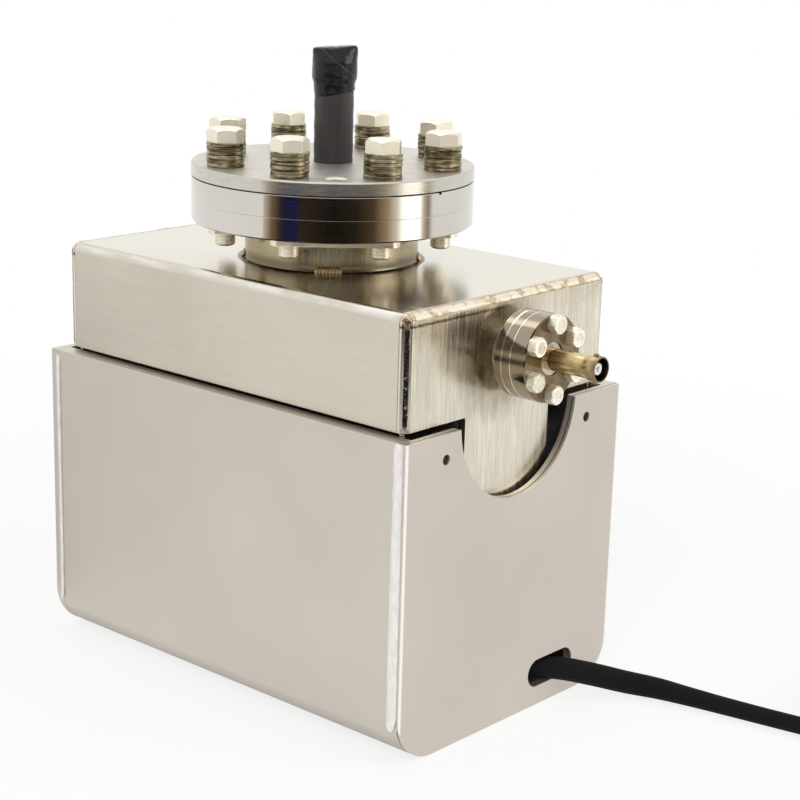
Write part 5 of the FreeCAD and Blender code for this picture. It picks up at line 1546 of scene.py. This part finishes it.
class PUMP_OT_connector(bpy.types.Operator):
    """Dresses the high-voltage connector."""
    bl_idname = "pump.connector"
    bl_label = "Connector"

    def execute(self, context):
        self.shell()
        dress("brazed_ring", "connector_weld_ring", "weld_bright", "weld", 0.1 * MM)
        dress("ceramic_core", "feedthrough_ceramic", "ceramic_white", "ceramic", 0.12 * MM)
        coat("insulator_dark", "connector_insulator")
        coat("pin_grey", "high_voltage_conductor")
        return {"FINISHED"}

    def shell(self):
        """The turned shell, flared to its mouth, with two bayonet studs."""
        low, high = corners("connector_shell")
        root, mouth, level = -high.y, -low.y, (low.z + high.z) / 2
        bore, barrel, lip, hollow, deep, flare = 3.4, 4.2, 4.9, 4.2, 5.0, 3.6
        start = mouth - deep - flare / 2
        outline = [(bore, root), (barrel, root), (barrel, root + 0.5), (barrel, start - 0.4)]
        for number in range(7):
            share = (1 - math.cos(math.pi * number / 6)) / 2
            outline.append((barrel + (lip - barrel) * share, start + flare * number / 6))
        outline += [(lip, start + flare + 0.3), (lip, mouth - 0.3), (lip - 0.12, mouth - 0.07),
                    (lip - 0.3, mouth), (hollow + 0.15, mouth), (hollow, mouth - 0.15),
                    (hollow, mouth - deep), (bore, mouth - deep)]
        shell = smooth(forward(turned("brass_shell", outline, 96, closed=True), level), 40)
        studs = []
        for side in (-1, 1):
            reach = sorted((side * (lip - 0.3), side * (high.z - level)))
            stud = rod("bayonet_stud", 1.0, level + reach[0], level + reach[1], 24)
            stud.location = (0, -(mouth - deep / 2) * MM, 0)
            studs.append(soften(settle(stud), 0.25 * MM, 2))
        fit(joined([shell] + studs, "brass_shell"), "brass_turned", "brass", "connector_shell")


class PUMP_OT_inside(bpy.types.Operator):
    """Gives the pieces inside the pump their finishes."""
    bl_idname = "pump.inside"
    bl_label = "Inside"

    def execute(self, context):
        coat("anode_sheet", "anode_cells", "sputter_shields")
        coat("titanium_sheet", "cathode_left", "cathode_right")
        coat("ceramic_white", "anode_standoffs")
        coat("magnet_ferrite", "magnets_left", "magnets_right")
        coat("heater_mat", "bakeout_heater_left", "bakeout_heater_right")
        coat("support_steel", "pocket_supports")
        coat("terminal_steatite", "heater_terminal")
        coat("wire_sleeving", "heater_wires")
        return {"FINISHED"}


STEPS = (PUMP_OT_stage, PUMP_OT_lead, PUMP_OT_housing, PUMP_OT_housing_beads, PUMP_OT_chamber,
         PUMP_OT_chamber_beads, PUMP_OT_inlet, PUMP_OT_cover, PUMP_OT_cover_bolts,
         PUMP_OT_cover_washers, PUMP_OT_plate_nuts, PUMP_OT_pump_out, PUMP_OT_feedthrough,
         PUMP_OT_connector, PUMP_OT_inside)
GROUPS = {"stage": StageSettings, "lead": LeadSettings, "housing": HousingSettings,
          "chamber": ChamberSettings, "inlet": InletSettings, "pump_out": PumpOutSettings,
          "feedthrough": FeedthroughSettings}


class PUMP_PT_steps(bpy.types.Panel):
    """Lists the steps and their settings."""
    bl_idname = "PUMP_PT_steps"
    bl_label = "Ion pump"
    bl_space_type = "VIEW_3D"
    bl_region_type = "UI"
    bl_category = "Pump"

    def draw(self, context):
        for step in STEPS:
            self.layout.operator(step.bl_idname)
        for name, group in GROUPS.items():
            box = self.layout.box()
            box.label(text=name.replace("_", " "))
            for key in group.__annotations__:
                box.prop(settings(name), key)


def register():
    """Registers the settings, the steps and the panel."""
    for group in GROUPS.values():
        bpy.utils.register_class(group)
    for name, group in GROUPS.items():
        setattr(bpy.types.Scene, "pump_" + name, PointerProperty(type=group))
    for step in STEPS:
        bpy.utils.register_class(step)
    bpy.utils.register_class(PUMP_PT_steps)


def unregister():
    """Removes the panel, the steps and the settings."""
    bpy.utils.unregister_class(PUMP_PT_steps)
    for step in reversed(STEPS):
        bpy.utils.unregister_class(step)
    for name in GROUPS:
        delattr(bpy.types.Scene, "pump_" + name)
    for group in GROUPS.values():
        bpy.utils.unregister_class(group)


def main():
    """Runs every step in its order."""
    register()
    bpy.ops.pump.stage()
    bpy.ops.pump.lead()
    bpy.ops.pump.housing()
    bpy.ops.pump.housing_beads()
    bpy.ops.pump.chamber()
    bpy.ops.pump.chamber_beads()
    bpy.ops.pump.inlet()
    bpy.ops.pump.cover()
    bpy.ops.pump.cover_bolts()
    bpy.ops.pump.cover_washers()
    bpy.ops.pump.plate_nuts()
    bpy.ops.pump.pump_out()
    bpy.ops.pump.feedthrough()
    bpy.ops.pump.connector()
    bpy.ops.pump.inside()
    deselect()


if __name__ == "__main__":
    main()
